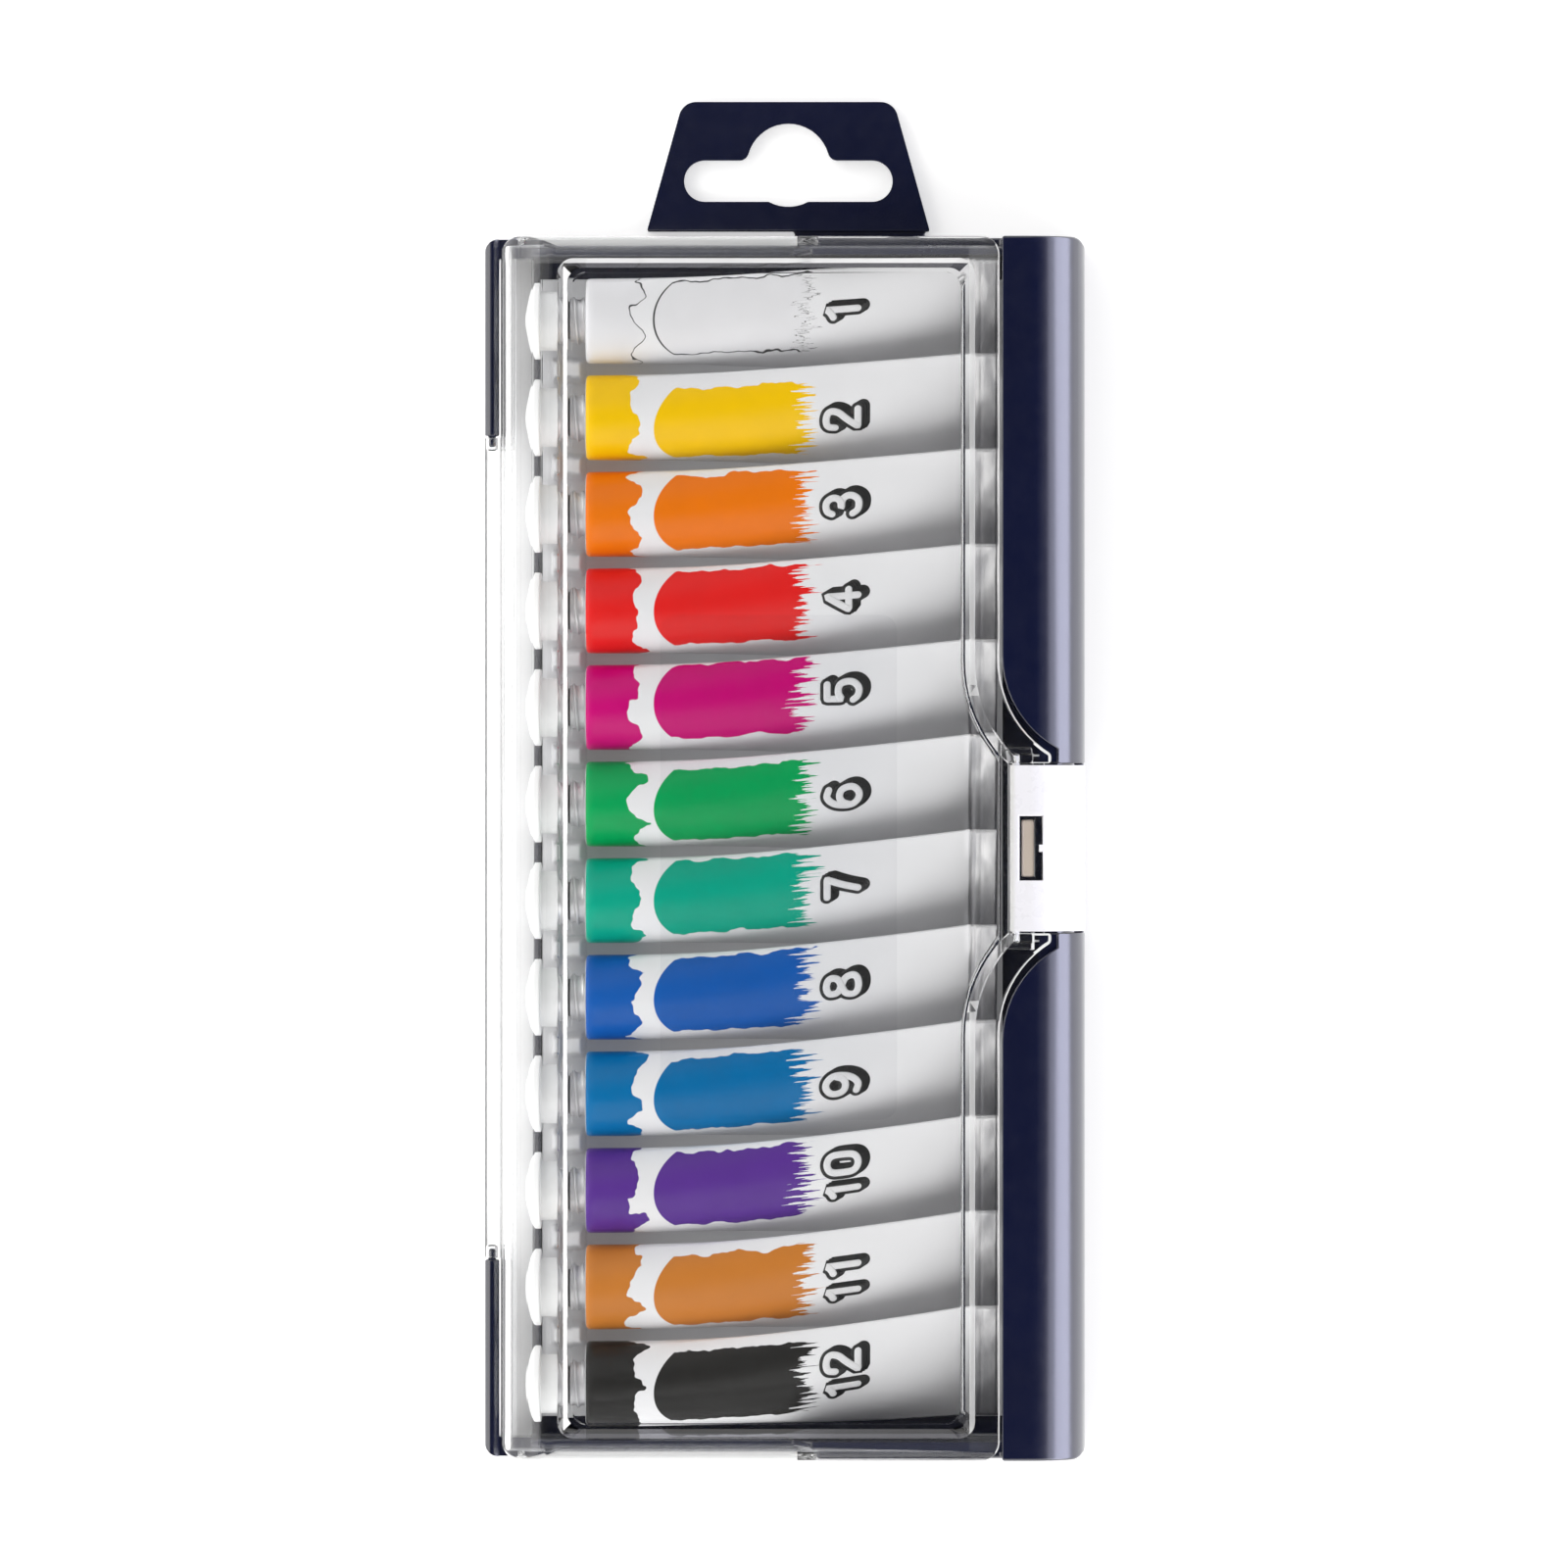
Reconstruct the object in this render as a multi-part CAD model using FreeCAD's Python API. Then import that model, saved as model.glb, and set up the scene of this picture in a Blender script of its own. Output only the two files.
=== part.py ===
import FreeCAD, Part
import math
import os

V = FreeCAD.Vector

# All lengths in millimetres. X runs from the lid hinge to the latch, Y towards the hang tab,
# Z up from the table the box lies on. The origin is the middle of the box's underside.

# Whole box
BOX_WIDTH = 95.8
BOX_LENGTH = 194.4
BOX_CORNER = 2.2

# Fits
CLEAR = 0.3
FIT = 0.05
OVER = 2.0
TOUCH = 1e-6

# Base
BASE_WALL = 1.6
FLOOR = 1.6
BAND_ROUND = 9.0
LIP = 1.2
TRAY_INSET = 7.3
RIM_WALL = 1.2
RIM_TOP = 2.75
LIP_LOW = 8.0
PART_FOOT = 2.2
PART_LOW = 6.0
PART_HIGH = 11.7
STEP_START = 1.4
STEP_RUN = 3.9
BAND_GAP = 0.4
BAND_CURVE_SHIFT = 1.0
NOTCH_INSET = 4.5

# Lid
LID_WALL = 1.4
LID_ROUND = 9.0
LID_CORNER = 3.0
LID_END_ROUND = 1.6
RIM_INSET = 13.8
CURVE_CENTRE_OUT = 3.35
TONGUE_INSET = 5.6
TONGUE_SIDE = 1.76
PANEL_RISE = 1.6
PANEL_LEFT_INSET = 11.8
PANEL_RIGHT_INSET = 17.7
PANEL_END_INSET = 3.6
PANEL_TONGUE_INSET = 10.9
PANEL_CORNER = 2.6

# Clear film stuck on the lid
FILM_THICK = 0.12
FILM_LEFT = -19.7
FILM_WIDTH = 37.5
FILM_TOP = 37.0
FILM_LENGTH = 80.0
FILM_CORNER = 2.5

# Lid hinge
KNUCKLE_D = 2.3
KNUCKLE_LENGTH = 31.4
HINGE_Z = 6.0
HINGE_PIN_D = 1.2
HINGE_PIN_LENGTH = 1.8
BAR_WIDTH = 1.6
BAR_DEPTH = 4.2
ARM_WIDTH = 3.0
WEB = 1.4

# Latch
LATCH_WIDTH = 26.4
LATCH_THICK = 1.4
LATCH_FOOT = 2.9
LATCH_AXIS_INSET = 11.2
LATCH_BARREL = 0.95
LATCH_PIN_D = 1.2
LATCH_PIN_LENGTH = 1.6
WINDOW_INSET = 10.65
WINDOW_RUN = 3.7
WINDOW_WIDTH = 10.2
NUB = 0.6
LUG_INSET = 10.25
LUG_RUN = 1.9
LUG_WIDTH = 9.0
LUG_DROP = 0.5
SHELF_DROP = 2.2
SHELF_INSET = 6.6
BEAD = 0.6
BEAD_Z = 4.2
BEAD_WIDTH = 20.0
EAR_WIDTH = 2.6
EAR_DEPTH = 3.0
EAR_RUN = 2.6

# Hang tab
TAB_THICK = 2.0
TAB_GAP = 1.5
TAB_CENTRE_X = 0.6
TAB_FOOT_WIDTH = 45.4
TAB_HEAD_WIDTH = 33.8
TAB_CORNER = 2.8
SLOT_SIDE = 0.2
SLOT_HEIGHT = 6.6
SLOT_RISE = 4.8
BUMP_D = 13.3
BUMP_RISE = 5.9
BUMP_FILLET = 1.5
TOP_BAR = 3.5
NECK_SIDE = 0.8
NECK_WIDTH = 20.9
NECK_THICK = 1.2

# Tubes
TUBE_COUNT = 12
ROW_SPARE = 3.8
TUBE_MIDDLE_Y = -0.7
TUBE_SPACE = 1.9
TUBE_WALL = 0.35
TUBE_GAP = 0.2
HEAD_ROOM = 1.0
SHOULDER_INSET = 16.8
TAIL_INSET = 14.0
SHOULDER_DEPTH = 0.7
COLLAR_STEP = 0.65
COLLAR_LENGTH = 3.1
SPOUT_WALL = 1.4
SPOUT_LENGTH = 5.0
CRIMP_LENGTH = 4.6
CRIMP_THICK = 1.0
FIRST_TAIL_SHIFT = 0.8
LAST_TAIL_SHIFT = 3.6
TAIL_TILT = 31.0
# Share of the way from shoulder to crimp, and share of the round half height left there
SQUASH_SHARES = ((0.0, 1.0), (0.3, 0.81), (0.65, 0.54), (1.0, 0.08))
PAINT_SHARES = ((0.005, 1.0), (0.3, 0.81), (0.65, 0.54), (0.93, 0.17))
# Flats round each tube and cap, few because they repeat
SIDES = 16

# Caps
CAP_BRIM = 1.4
CAP_WALL = 1.7
CAP_BODY_LENGTH = 4.4
CAP_DISC_INSET = 0.65
CAP_DISC_THICK = 1.0
CAP_DOME = 1.4
# Shares of the dome's half angle where its rings lie
DOME_SHARES = (0.4, 0.75, 1.0)

# Tray insert
SHEET = 0.7
INSERT_END_GAP = 3.3
INSERT_SIDE_GAP = 2.3
INSERT_TAIL_GAP = 1.0
FINGER_WIDTH = 4.0
FINGER_TOP = 8.2
FINGER_LENGTH = 5.8

# Values that follow from the ones above: first the plan
RIGHT = BOX_WIDTH / 2
LEFT = -RIGHT
END = BOX_LENGTH / 2
LIP_FACE = END - LID_WALL - CLEAR
LIP_BACK = LIP_FACE - LIP
HINGE_X = LEFT + KNUCKLE_D / 2
LID_LEFT = LEFT + KNUCKLE_D + CLEAR + FIT
LID_ROUND_X = LID_LEFT + LID_ROUND
TRAY_LEFT = LEFT + TRAY_INSET
ARM_END = TRAY_LEFT + RIM_WALL
BAND_X = RIGHT - BAND_ROUND
NOTCH_X = RIGHT - NOTCH_INSET
RIM_X = RIGHT - RIM_INSET
BAND_EDGE = RIM_X + BAND_GAP
PANEL_LEFT = LEFT + PANEL_LEFT_INSET
PANEL_RIGHT = RIGHT - PANEL_RIGHT_INSET
PANEL_HALF = END - PANEL_END_INSET
PANEL_TONGUE_X = RIGHT - PANEL_TONGUE_INSET
INSERT_HALF = LIP_BACK - INSERT_END_GAP
INSERT_RIGHT = RIGHT - BASE_WALL - INSERT_SIDE_GAP

# The latch, and the hollow curves that lead the lid's rim out to it
LATCH_HALF = LATCH_WIDTH / 2
LATCH_AXIS_X = RIGHT - LATCH_AXIS_INSET
WINDOW_X = RIGHT - WINDOW_INSET
LUG_X = RIGHT - LUG_INSET
SHELF_X = RIGHT - SHELF_INSET
SHELF_WELL_X = LATCH_AXIS_X - LATCH_BARREL - CLEAR
TONGUE_X = RIGHT - TONGUE_INSET
CURVE_CENTRE_X = RIGHT + CURVE_CENTRE_OUT
CURVE_RUN = math.sqrt((CURVE_CENTRE_X - RIM_X) ** 2 - (CURVE_CENTRE_X - TONGUE_X) ** 2)
CURVE_Y = LATCH_HALF + TONGUE_SIDE + CURVE_RUN

# The hang tab
TAB_FOOT_Y = END + TAB_GAP
SLOT_TOP_Y = TAB_FOOT_Y + SLOT_RISE + SLOT_HEIGHT
BUMP_TOP_Y = SLOT_TOP_Y + BUMP_RISE
TAB_HEAD_Y = BUMP_TOP_Y + TOP_BAR
SLOT_LENGTH = TAB_HEAD_WIDTH - 2 * SLOT_SIDE
NECK_RIGHT = TAB_CENTRE_X + TAB_FOOT_WIDTH / 2 - NECK_SIDE

# The row of tubes fills the tray, and the caps follow the tubes
TUBE_PITCH = (2 * LIP_BACK - ROW_SPARE) / TUBE_COUNT
TUBE_D = TUBE_PITCH - TUBE_SPACE
TUBE_Z = FLOOR + SHEET + TUBE_GAP + TUBE_D / 2
SHOULDER_X = LEFT + SHOULDER_INSET
TAIL_X = RIGHT - TAIL_INSET
TUBE_LENGTH = TAIL_X - SHOULDER_X
TAPER_LENGTH = TUBE_LENGTH - CRIMP_LENGTH
COLLAR_X = SHOULDER_X - COLLAR_LENGTH
CAP_DISC_D = TUBE_D - 2 * CAP_DISC_INSET
CAP_BODY_D = CAP_DISC_D - 2 * CAP_BRIM
SPOUT_D = CAP_BODY_D - 2 * CAP_WALL
COLLAR_D = SPOUT_D + 2 * COLLAR_STEP
MOUTH_D = SPOUT_D - 2 * SPOUT_WALL
CAP_MOUTH_X = COLLAR_X - CLEAR
CAP_NECK_X = CAP_MOUTH_X - CAP_BODY_LENGTH
CAP_DISC_X = CAP_NECK_X - CAP_DISC_THICK
FINGER_RIGHT = SHOULDER_X - SHOULDER_DEPTH
FINGER_LEFT = FINGER_RIGHT - FINGER_LENGTH

# Heights: the lid closes over the tubes
BORDER_TOP = TUBE_Z + TUBE_D / 2 + HEAD_ROOM + LID_WALL
LID_UNDER = BORDER_TOP - LID_WALL
LID_ROUND_Z = BORDER_TOP - LID_ROUND
BAND_Z = BORDER_TOP - BAND_ROUND
LIP_TOP = LID_UNDER - CLEAR
LATCH_AXIS_Z = BORDER_TOP - LATCH_BARREL
LATCH_UNDER = BORDER_TOP - LATCH_THICK
SEAT_ROUND = BAND_ROUND - LATCH_THICK - CLEAR
SHELF_TOP = BORDER_TOP - SHELF_DROP
# The lid's left wall ends where its foot still swings past the caps
SWING = CAP_DISC_X - CAP_DOME - 2 * CLEAR - HINGE_X
LID_FOOT = HINGE_Z - math.sqrt(SWING ** 2 - (LID_LEFT + LID_WALL - HINGE_X) ** 2)


def block(x0, x1, y0, y1, z0, z1):
    """A box between two corners."""
    return Part.makeBox(x1 - x0, y1 - y0, z1 - z0, V(x0, y0, z0))


def rod(radius, x, z, y0, y1):
    """A round bar along Y."""
    return Part.makeCylinder(radius, y1 - y0, V(x, y0, z), V(0, 1, 0))


def side_point(x, z, radius, degrees):
    """A point on a circle in the X-Z plane."""
    angle = math.radians(degrees)
    return V(x + radius * math.cos(angle), 0, z + radius * math.sin(angle))


def plan_point(x, y, radius, degrees, z):
    """A point on a circle in a level plane."""
    angle = math.radians(degrees)
    return V(x + radius * math.cos(angle), y + radius * math.sin(angle), z)


def outline(start, *steps):
    """A closed wire: a vector ends a straight edge, a pair is an arc's middle and end."""
    edges = []
    here = start
    for step in steps + (start,):
        if isinstance(step, tuple):
            edges.append(Part.Arc(here, step[0], step[1]).toShape())
            here = step[1]
        elif (step - here).Length > TOUCH:
            edges.append(Part.makeLine(here, step))
            here = step
    return Part.Wire(edges)


def run_along_y(wire, y0, y1):
    """A side outline drawn at Y zero, run from one Y to another."""
    solid = Part.Face(wire).extrude(V(0, y1 - y0, 0))
    solid.translate(V(0, y0, 0))
    return solid


def both_ends(solid):
    """The solid and its mirror image at the other end of the box."""
    return solid.fuse(solid.mirror(V(0, 0, 0), V(0, 1, 0)))


def round_plate(left, right, foot, head, corner, z0, z1):
    """A level plate with rounded corners."""
    wire = outline(
        V(left + corner, head, z0), V(right - corner, head, z0),
        (plan_point(right - corner, head - corner, corner, 45, z0), V(right, head - corner, z0)),
        V(right, foot + corner, z0),
        (plan_point(right - corner, foot + corner, corner, 315, z0), V(right - corner, foot, z0)),
        V(left + corner, foot, z0),
        (plan_point(left + corner, foot + corner, corner, 225, z0), V(left, foot + corner, z0)),
        V(left, head - corner, z0),
        (plan_point(left + corner, head - corner, corner, 135, z0), V(left + corner, head, z0)),
    )
    return Part.Face(wire).extrude(V(0, 0, z1 - z0))


def tongued_wire(left, right, half, corner, curve_y, tongue_x, z):
    """A level outline whose right side swings out to a tongue between two hollow curves."""
    radius = CURVE_CENTRE_X - right
    sweep = math.degrees(math.acos((CURVE_CENTRE_X - tongue_x) / radius))
    tongue_y = curve_y - radius * math.sin(math.radians(sweep))

    def on_curve(share, side):
        point = plan_point(CURVE_CENTRE_X, curve_y, radius, 180 + sweep * share, z)
        return V(point.x, point.y * side, z)

    return outline(
        V(left + corner, half, z), V(right - corner, half, z),
        (plan_point(right - corner, half - corner, corner, 45, z), V(right, half - corner, z)),
        V(right, curve_y, z),
        (on_curve(0.5, 1), V(tongue_x, tongue_y, z)),
        V(tongue_x, -tongue_y, z),
        (on_curve(0.5, -1), V(right, -curve_y, z)),
        V(right, corner - half, z),
        (plan_point(right - corner, corner - half, corner, 315, z), V(right - corner, -half, z)),
        V(left + corner, -half, z),
        (plan_point(left + corner, corner - half, corner, 225, z), V(left, corner - half, z)),
        V(left, half - corner, z),
        (plan_point(left + corner, half - corner, corner, 135, z), V(left + corner, half, z)),
    )


def band_section(inset, left, foot):
    """Side outline of the base: floor line, upright right side, round shoulder, flat top."""
    radius = BAND_ROUND - inset
    return outline(
        V(left, 0, foot), V(BAND_X + radius, 0, foot), V(BAND_X + radius, 0, BAND_Z),
        (side_point(BAND_X, BAND_Z, radius, 45), V(BAND_X, 0, BAND_Z + radius)),
        V(left, 0, BAND_Z + radius),
    )


def lid_space():
    """What the closed lid takes out of the base's block."""
    top = Part.Face(tongued_wire(LEFT - OVER, BAND_EDGE, END + OVER, OVER, CURVE_Y + BAND_CURVE_SHIFT,
                                 NOTCH_X, LIP_TOP)).extrude(V(0, 0, BORDER_TOP))
    step = outline(
        V(LEFT - OVER, 0, PART_LOW), V(ARM_END, 0, PART_LOW),
        V(ARM_END, 0, PART_FOOT), V(STEP_START, 0, PART_FOOT),
        V(STEP_START + STEP_RUN, 0, PART_HIGH), V(BAND_EDGE, 0, PART_HIGH),
        V(BAND_EDGE, 0, BORDER_TOP + OVER), V(LEFT - OVER, 0, BORDER_TOP + OVER),
    )
    low_lip = outline(
        V(LEFT - OVER, 0, LIP_LOW), V(STEP_START, 0, LIP_LOW),
        V(STEP_START + STEP_RUN, 0, BORDER_TOP + OVER), V(LEFT - OVER, 0, BORDER_TOP + OVER),
    )
    low_rim = block(LEFT - OVER, ARM_END, -LIP_BACK, LIP_BACK, RIM_TOP, BORDER_TOP)
    return top.fuse([both_ends(run_along_y(step, LIP_FACE, END + OVER)),
                     run_along_y(low_lip, -END - OVER, END + OVER), low_rim])


def latch_seat():
    """The wall and cheeks set into the right band behind the latch."""
    half = LATCH_HALF + CLEAR + BASE_WALL
    back = run_along_y(band_section(0, BAND_X, 0), -half, half)
    inner = band_section(BAND_ROUND - SEAT_ROUND + BASE_WALL, BAND_X - OVER, FLOOR)
    tongue_room = block(BAND_X - OVER, NOTCH_X, -half, half, FLOOR, BORDER_TOP + OVER)
    return back.cut([run_along_y(inner, -half, half), tongue_room])


def latch_recess():
    """The room for the closed latch and for its snap bead."""
    half = LATCH_HALF + CLEAR
    seat_x = BAND_X + SEAT_ROUND
    wire = outline(
        V(BAND_X, 0, BORDER_TOP + OVER), V(RIGHT + OVER, 0, BORDER_TOP + OVER),
        V(RIGHT + OVER, 0, LATCH_FOOT - CLEAR), V(seat_x, 0, LATCH_FOOT - CLEAR), V(seat_x, 0, BAND_Z),
        (side_point(BAND_X, BAND_Z, SEAT_ROUND, 45), V(BAND_X, 0, BAND_Z + SEAT_ROUND)),
    )
    groove_half = BEAD_WIDTH / 2 + CLEAR
    groove = rod(BEAD + CLEAR, RIGHT - LATCH_THICK, BEAD_Z, -groove_half, groove_half)
    return run_along_y(wire, -half, half).fuse(groove)


def hinge_bar():
    """One end's knuckle with the rib under it, the arm that carries it and its pin."""
    start = END - KNUCKLE_LENGTH
    knuckle = rod(KNUCKLE_D / 2, HINGE_X, HINGE_Z, start, END)
    rib = block(HINGE_X - BAR_WIDTH / 2, HINGE_X + BAR_WIDTH / 2, start, END, HINGE_Z - BAR_DEPTH, HINGE_Z)
    arm = block(HINGE_X - BAR_WIDTH / 2, ARM_END, END - ARM_WIDTH, END, 0, HINGE_Z - CLEAR)
    pin = rod(HINGE_PIN_D / 2, HINGE_X, HINGE_Z, start - HINGE_PIN_LENGTH, start)
    return knuckle.fuse([rib, arm, pin])


def hang_tab():
    """Flat tab with a hanging slot, joined to the box by a short neck."""
    foot = TAB_FOOT_WIDTH / 2
    head = TAB_HEAD_WIDTH / 2
    slot_half = SLOT_LENGTH / 2
    wire = outline(V(TAB_CENTRE_X - foot, TAB_FOOT_Y, 0), V(TAB_CENTRE_X + foot, TAB_FOOT_Y, 0),
                   V(TAB_CENTRE_X + head, TAB_HEAD_Y, 0), V(TAB_CENTRE_X - head, TAB_HEAD_Y, 0))
    plate = Part.Face(wire).extrude(V(0, 0, TAB_THICK))
    corners = [e for e in plate.Edges
               if e.BoundBox.ZLength > TOUCH and e.BoundBox.YMax > TAB_HEAD_Y - TAB_CORNER]
    plate = plate.makeFillet(TAB_CORNER, corners)
    slot = round_plate(TAB_CENTRE_X - slot_half, TAB_CENTRE_X + slot_half, SLOT_TOP_Y - SLOT_HEIGHT,
                       SLOT_TOP_Y, SLOT_HEIGHT / 2, -OVER, TAB_THICK + OVER)
    bump = Part.makeCylinder(BUMP_D / 2, TAB_THICK + 2 * OVER,
                             V(TAB_CENTRE_X, BUMP_TOP_Y - BUMP_D / 2, -OVER))
    plate = plate.cut(slot.fuse(bump)).removeSplitter()
    throat = [e for e in plate.Edges
              if e.BoundBox.ZLength > TOUCH and abs(e.BoundBox.Center.y - SLOT_TOP_Y) < FIT
              and abs(e.BoundBox.Center.x - TAB_CENTRE_X) < BUMP_D / 2]
    plate = plate.makeFillet(BUMP_FILLET, throat)
    neck = block(NECK_RIGHT - NECK_WIDTH, NECK_RIGHT, END - BASE_WALL, TAB_FOOT_Y + BASE_WALL, 0, NECK_THICK)
    return plate.fuse(neck)


def make_base():
    """Dark base: tray, end lips, rounded band with the latch seat, hinge bars and hang tab."""
    block_out = run_along_y(band_section(0, TRAY_LEFT, 0), -END, END)
    cavity = run_along_y(band_section(BASE_WALL, ARM_END, FLOOR), -LIP_BACK, LIP_BACK)
    shell = block_out.cut(cavity).fuse(latch_seat())
    shell = shell.cut(lid_space()).cut(latch_recess())
    shell = shell.fuse(both_ends(hinge_bar()))
    shell = shell.common(round_plate(LEFT, RIGHT, -END, END, BOX_CORNER, -OVER, BORDER_TOP + OVER))
    return shell.fuse(hang_tab()).removeSplitter()


def lid_section(inset, right):
    """Side outline of the lid: upright left wall, round shoulder, flat top."""
    radius = LID_ROUND - inset
    foot = LID_FOOT - inset
    return outline(
        V(LID_ROUND_X - radius, 0, foot), V(LID_ROUND_X - radius, 0, LID_ROUND_Z),
        (side_point(LID_ROUND_X, LID_ROUND_Z, radius, 135), V(LID_ROUND_X, 0, LID_ROUND_Z + radius)),
        V(right, 0, LID_ROUND_Z + radius), V(right, 0, foot),
    )


def lid_length():
    """A block as long as the lid whose upper edges are rounded at both ends."""
    flat = END - LID_END_ROUND
    low = BORDER_TOP - LID_END_ROUND
    bend = LID_END_ROUND * math.sqrt(0.5)
    wire = outline(
        V(LEFT, -END, 0), V(LEFT, -END, low),
        (V(LEFT, -flat - bend, low + bend), V(LEFT, -flat, BORDER_TOP)), V(LEFT, flat, BORDER_TOP),
        (V(LEFT, flat + bend, low + bend), V(LEFT, END, low)), V(LEFT, END, 0),
    )
    return Part.Face(wire).extrude(V(BOX_WIDTH, 0, 0))


def lid_shell():
    """Clear shell of even wall, open below and to the right."""
    plan = Part.Face(tongued_wire(LID_LEFT, RIM_X, END, LID_CORNER, CURVE_Y, TONGUE_X, 0))
    outer = run_along_y(lid_section(0, TONGUE_X + OVER), -END, END)
    outer = outer.common(plan.extrude(V(0, 0, BORDER_TOP + OVER))).common(lid_length())
    inside = END - LID_WALL
    inner = run_along_y(lid_section(LID_WALL, TONGUE_X + OVER), -inside, inside)
    return outer.cut(inner)


def lid_trim():
    """What is cut from the lid's end walls and lower left wall to close over the base."""
    high = PART_HIGH + CLEAR
    low = PART_LOW + CLEAR
    foot = PART_FOOT + CLEAR
    step = outline(
        V(LEFT, 0, low), V(ARM_END + CLEAR, 0, low), V(ARM_END + CLEAR, 0, foot),
        V(STEP_START - CLEAR, 0, foot), V(STEP_START + STEP_RUN - CLEAR, 0, high),
        V(RIGHT, 0, high), V(RIGHT, 0, -OVER), V(LEFT, 0, -OVER),
    )
    return both_ends(run_along_y(step, END - ARM_WIDTH - CLEAR, END + OVER))


def panel_block(drop, inset):
    """The raised panel with sloping sides, sunk and shrunk for its hollow underside."""
    wires = []
    for rise, narrow in ((0, 0), (PANEL_RISE, PANEL_RISE)):
        shrink = inset + narrow
        wires.append(tongued_wire(PANEL_LEFT + shrink, PANEL_RIGHT - shrink, PANEL_HALF - shrink,
                                  PANEL_CORNER, CURVE_Y, PANEL_TONGUE_X - shrink,
                                  BORDER_TOP + rise - drop))
    return Part.makeLoft(wires, True, True)


def latch_bearing():
    """The shelf under the latch, and the ears that hold the latch's pins."""
    half = LATCH_HALF + CLEAR
    shelf = block(SHELF_WELL_X - LID_WALL, SHELF_X, -half - LID_WALL, half + LID_WALL,
                  SHELF_TOP - LID_WALL, SHELF_TOP)
    wall = block(SHELF_WELL_X - LID_WALL, SHELF_WELL_X, -half, half, SHELF_TOP - LID_WALL, BORDER_TOP)
    ear = block(SHELF_WELL_X - LID_WALL, LATCH_AXIS_X + EAR_RUN, half, half + EAR_WIDTH,
                BORDER_TOP - EAR_DEPTH, BORDER_TOP)
    return shelf.fuse([wall, both_ends(ear)])


def make_lid():
    """Clear lid: shell, raised panel, hinge barrel and the latch's bearing."""
    half = LATCH_HALF + CLEAR
    barrel_half = END - KNUCKLE_LENGTH - CLEAR
    well = block(SHELF_WELL_X, TONGUE_X + OVER, -half, half, SHELF_TOP, BORDER_TOP + PANEL_RISE + OVER)
    lug = block(LUG_X, LUG_X + LUG_RUN, -LUG_WIDTH / 2, LUG_WIDTH / 2, SHELF_TOP, BORDER_TOP - LUG_DROP)
    beyond = block(SHELF_X, TONGUE_X + OVER, -half, half, 0, BORDER_TOP + OVER)
    barrel = rod(KNUCKLE_D / 2, HINGE_X, HINGE_Z, -barrel_half, barrel_half)
    web = block(HINGE_X, LID_LEFT + LID_WALL, -barrel_half, barrel_half,
                HINGE_Z - WEB / 2, HINGE_Z + WEB / 2)
    depth = HINGE_PIN_LENGTH + CLEAR
    bore = rod(HINGE_PIN_D / 2 + FIT, HINGE_X, HINGE_Z, barrel_half - depth, barrel_half + CLEAR)
    pin_half = half + LATCH_PIN_LENGTH
    pin_bore = rod(LATCH_PIN_D / 2 + FIT, LATCH_AXIS_X, LATCH_AXIS_Z, -pin_half, pin_half)
    lid = lid_shell().cut(lid_trim())
    lid = lid.fuse([panel_block(0, 0), latch_bearing()])
    lid = lid.cut(panel_block(LID_WALL, LID_WALL / 2).cut(well_guard()))
    lid = lid.cut([well, beyond]).fuse([lug, barrel, web])
    return lid.cut([both_ends(bore), pin_bore]).removeSplitter()


def well_guard():
    """The walls round the latch's well, kept out of the panel's hollow underside."""
    half = LATCH_HALF + CLEAR + EAR_WIDTH
    return block(SHELF_WELL_X - LID_WALL, TONGUE_X, -half, half, 0, BORDER_TOP + PANEL_RISE)


def make_film():
    """Clear film stuck on the raised panel."""
    top = BORDER_TOP + PANEL_RISE
    return round_plate(FILM_LEFT, FILM_LEFT + FILM_WIDTH, FILM_TOP - FILM_LENGTH, FILM_TOP,
                       FILM_CORNER, top, top + FILM_THICK)


def make_latch():
    """White latch: pinned at the lid's tongue, bent over the band, with a bead that snaps in."""
    inner = BAND_ROUND - LATCH_THICK
    wire = outline(
        V(LATCH_AXIS_X, 0, BORDER_TOP), V(BAND_X, 0, BORDER_TOP),
        (side_point(BAND_X, BAND_Z, BAND_ROUND, 45), V(RIGHT, 0, BAND_Z)),
        V(RIGHT, 0, LATCH_FOOT), V(RIGHT - LATCH_THICK, 0, LATCH_FOOT), V(RIGHT - LATCH_THICK, 0, BAND_Z),
        (side_point(BAND_X, BAND_Z, inner, 45), V(BAND_X, 0, LATCH_UNDER)),
        V(LATCH_AXIS_X, 0, LATCH_UNDER),
    )
    plate = run_along_y(wire, -LATCH_HALF, LATCH_HALF)
    barrel = rod(LATCH_BARREL, LATCH_AXIS_X, LATCH_AXIS_Z, -LATCH_HALF, LATCH_HALF)
    pin_half = LATCH_HALF + LATCH_PIN_LENGTH
    pins = rod(LATCH_PIN_D / 2, LATCH_AXIS_X, LATCH_AXIS_Z, -pin_half, pin_half)
    bead = rod(BEAD, RIGHT - LATCH_THICK, BEAD_Z, -BEAD_WIDTH / 2, BEAD_WIDTH / 2)
    bead = bead.common(block(BAND_X, RIGHT - LATCH_THICK / 2, -LATCH_HALF, LATCH_HALF, 0, BAND_Z))
    window = block(WINDOW_X, WINDOW_X + WINDOW_RUN, -WINDOW_WIDTH / 2, WINDOW_WIDTH / 2,
                   BAND_Z, BORDER_TOP + OVER)
    window_end = WINDOW_X + WINDOW_RUN
    nub = block(window_end - NUB, window_end + NUB, -NUB, NUB, BAND_Z, BORDER_TOP)
    window = window.cut(nub)
    return plate.fuse([barrel, bead]).cut(window).fuse(pins).removeSplitter()


def tube_y(index):
    """Y of a tube's axis, counted from the hang tab."""
    return TUBE_MIDDLE_Y + TUBE_PITCH * ((TUBE_COUNT - 1) / 2 - index)


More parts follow.
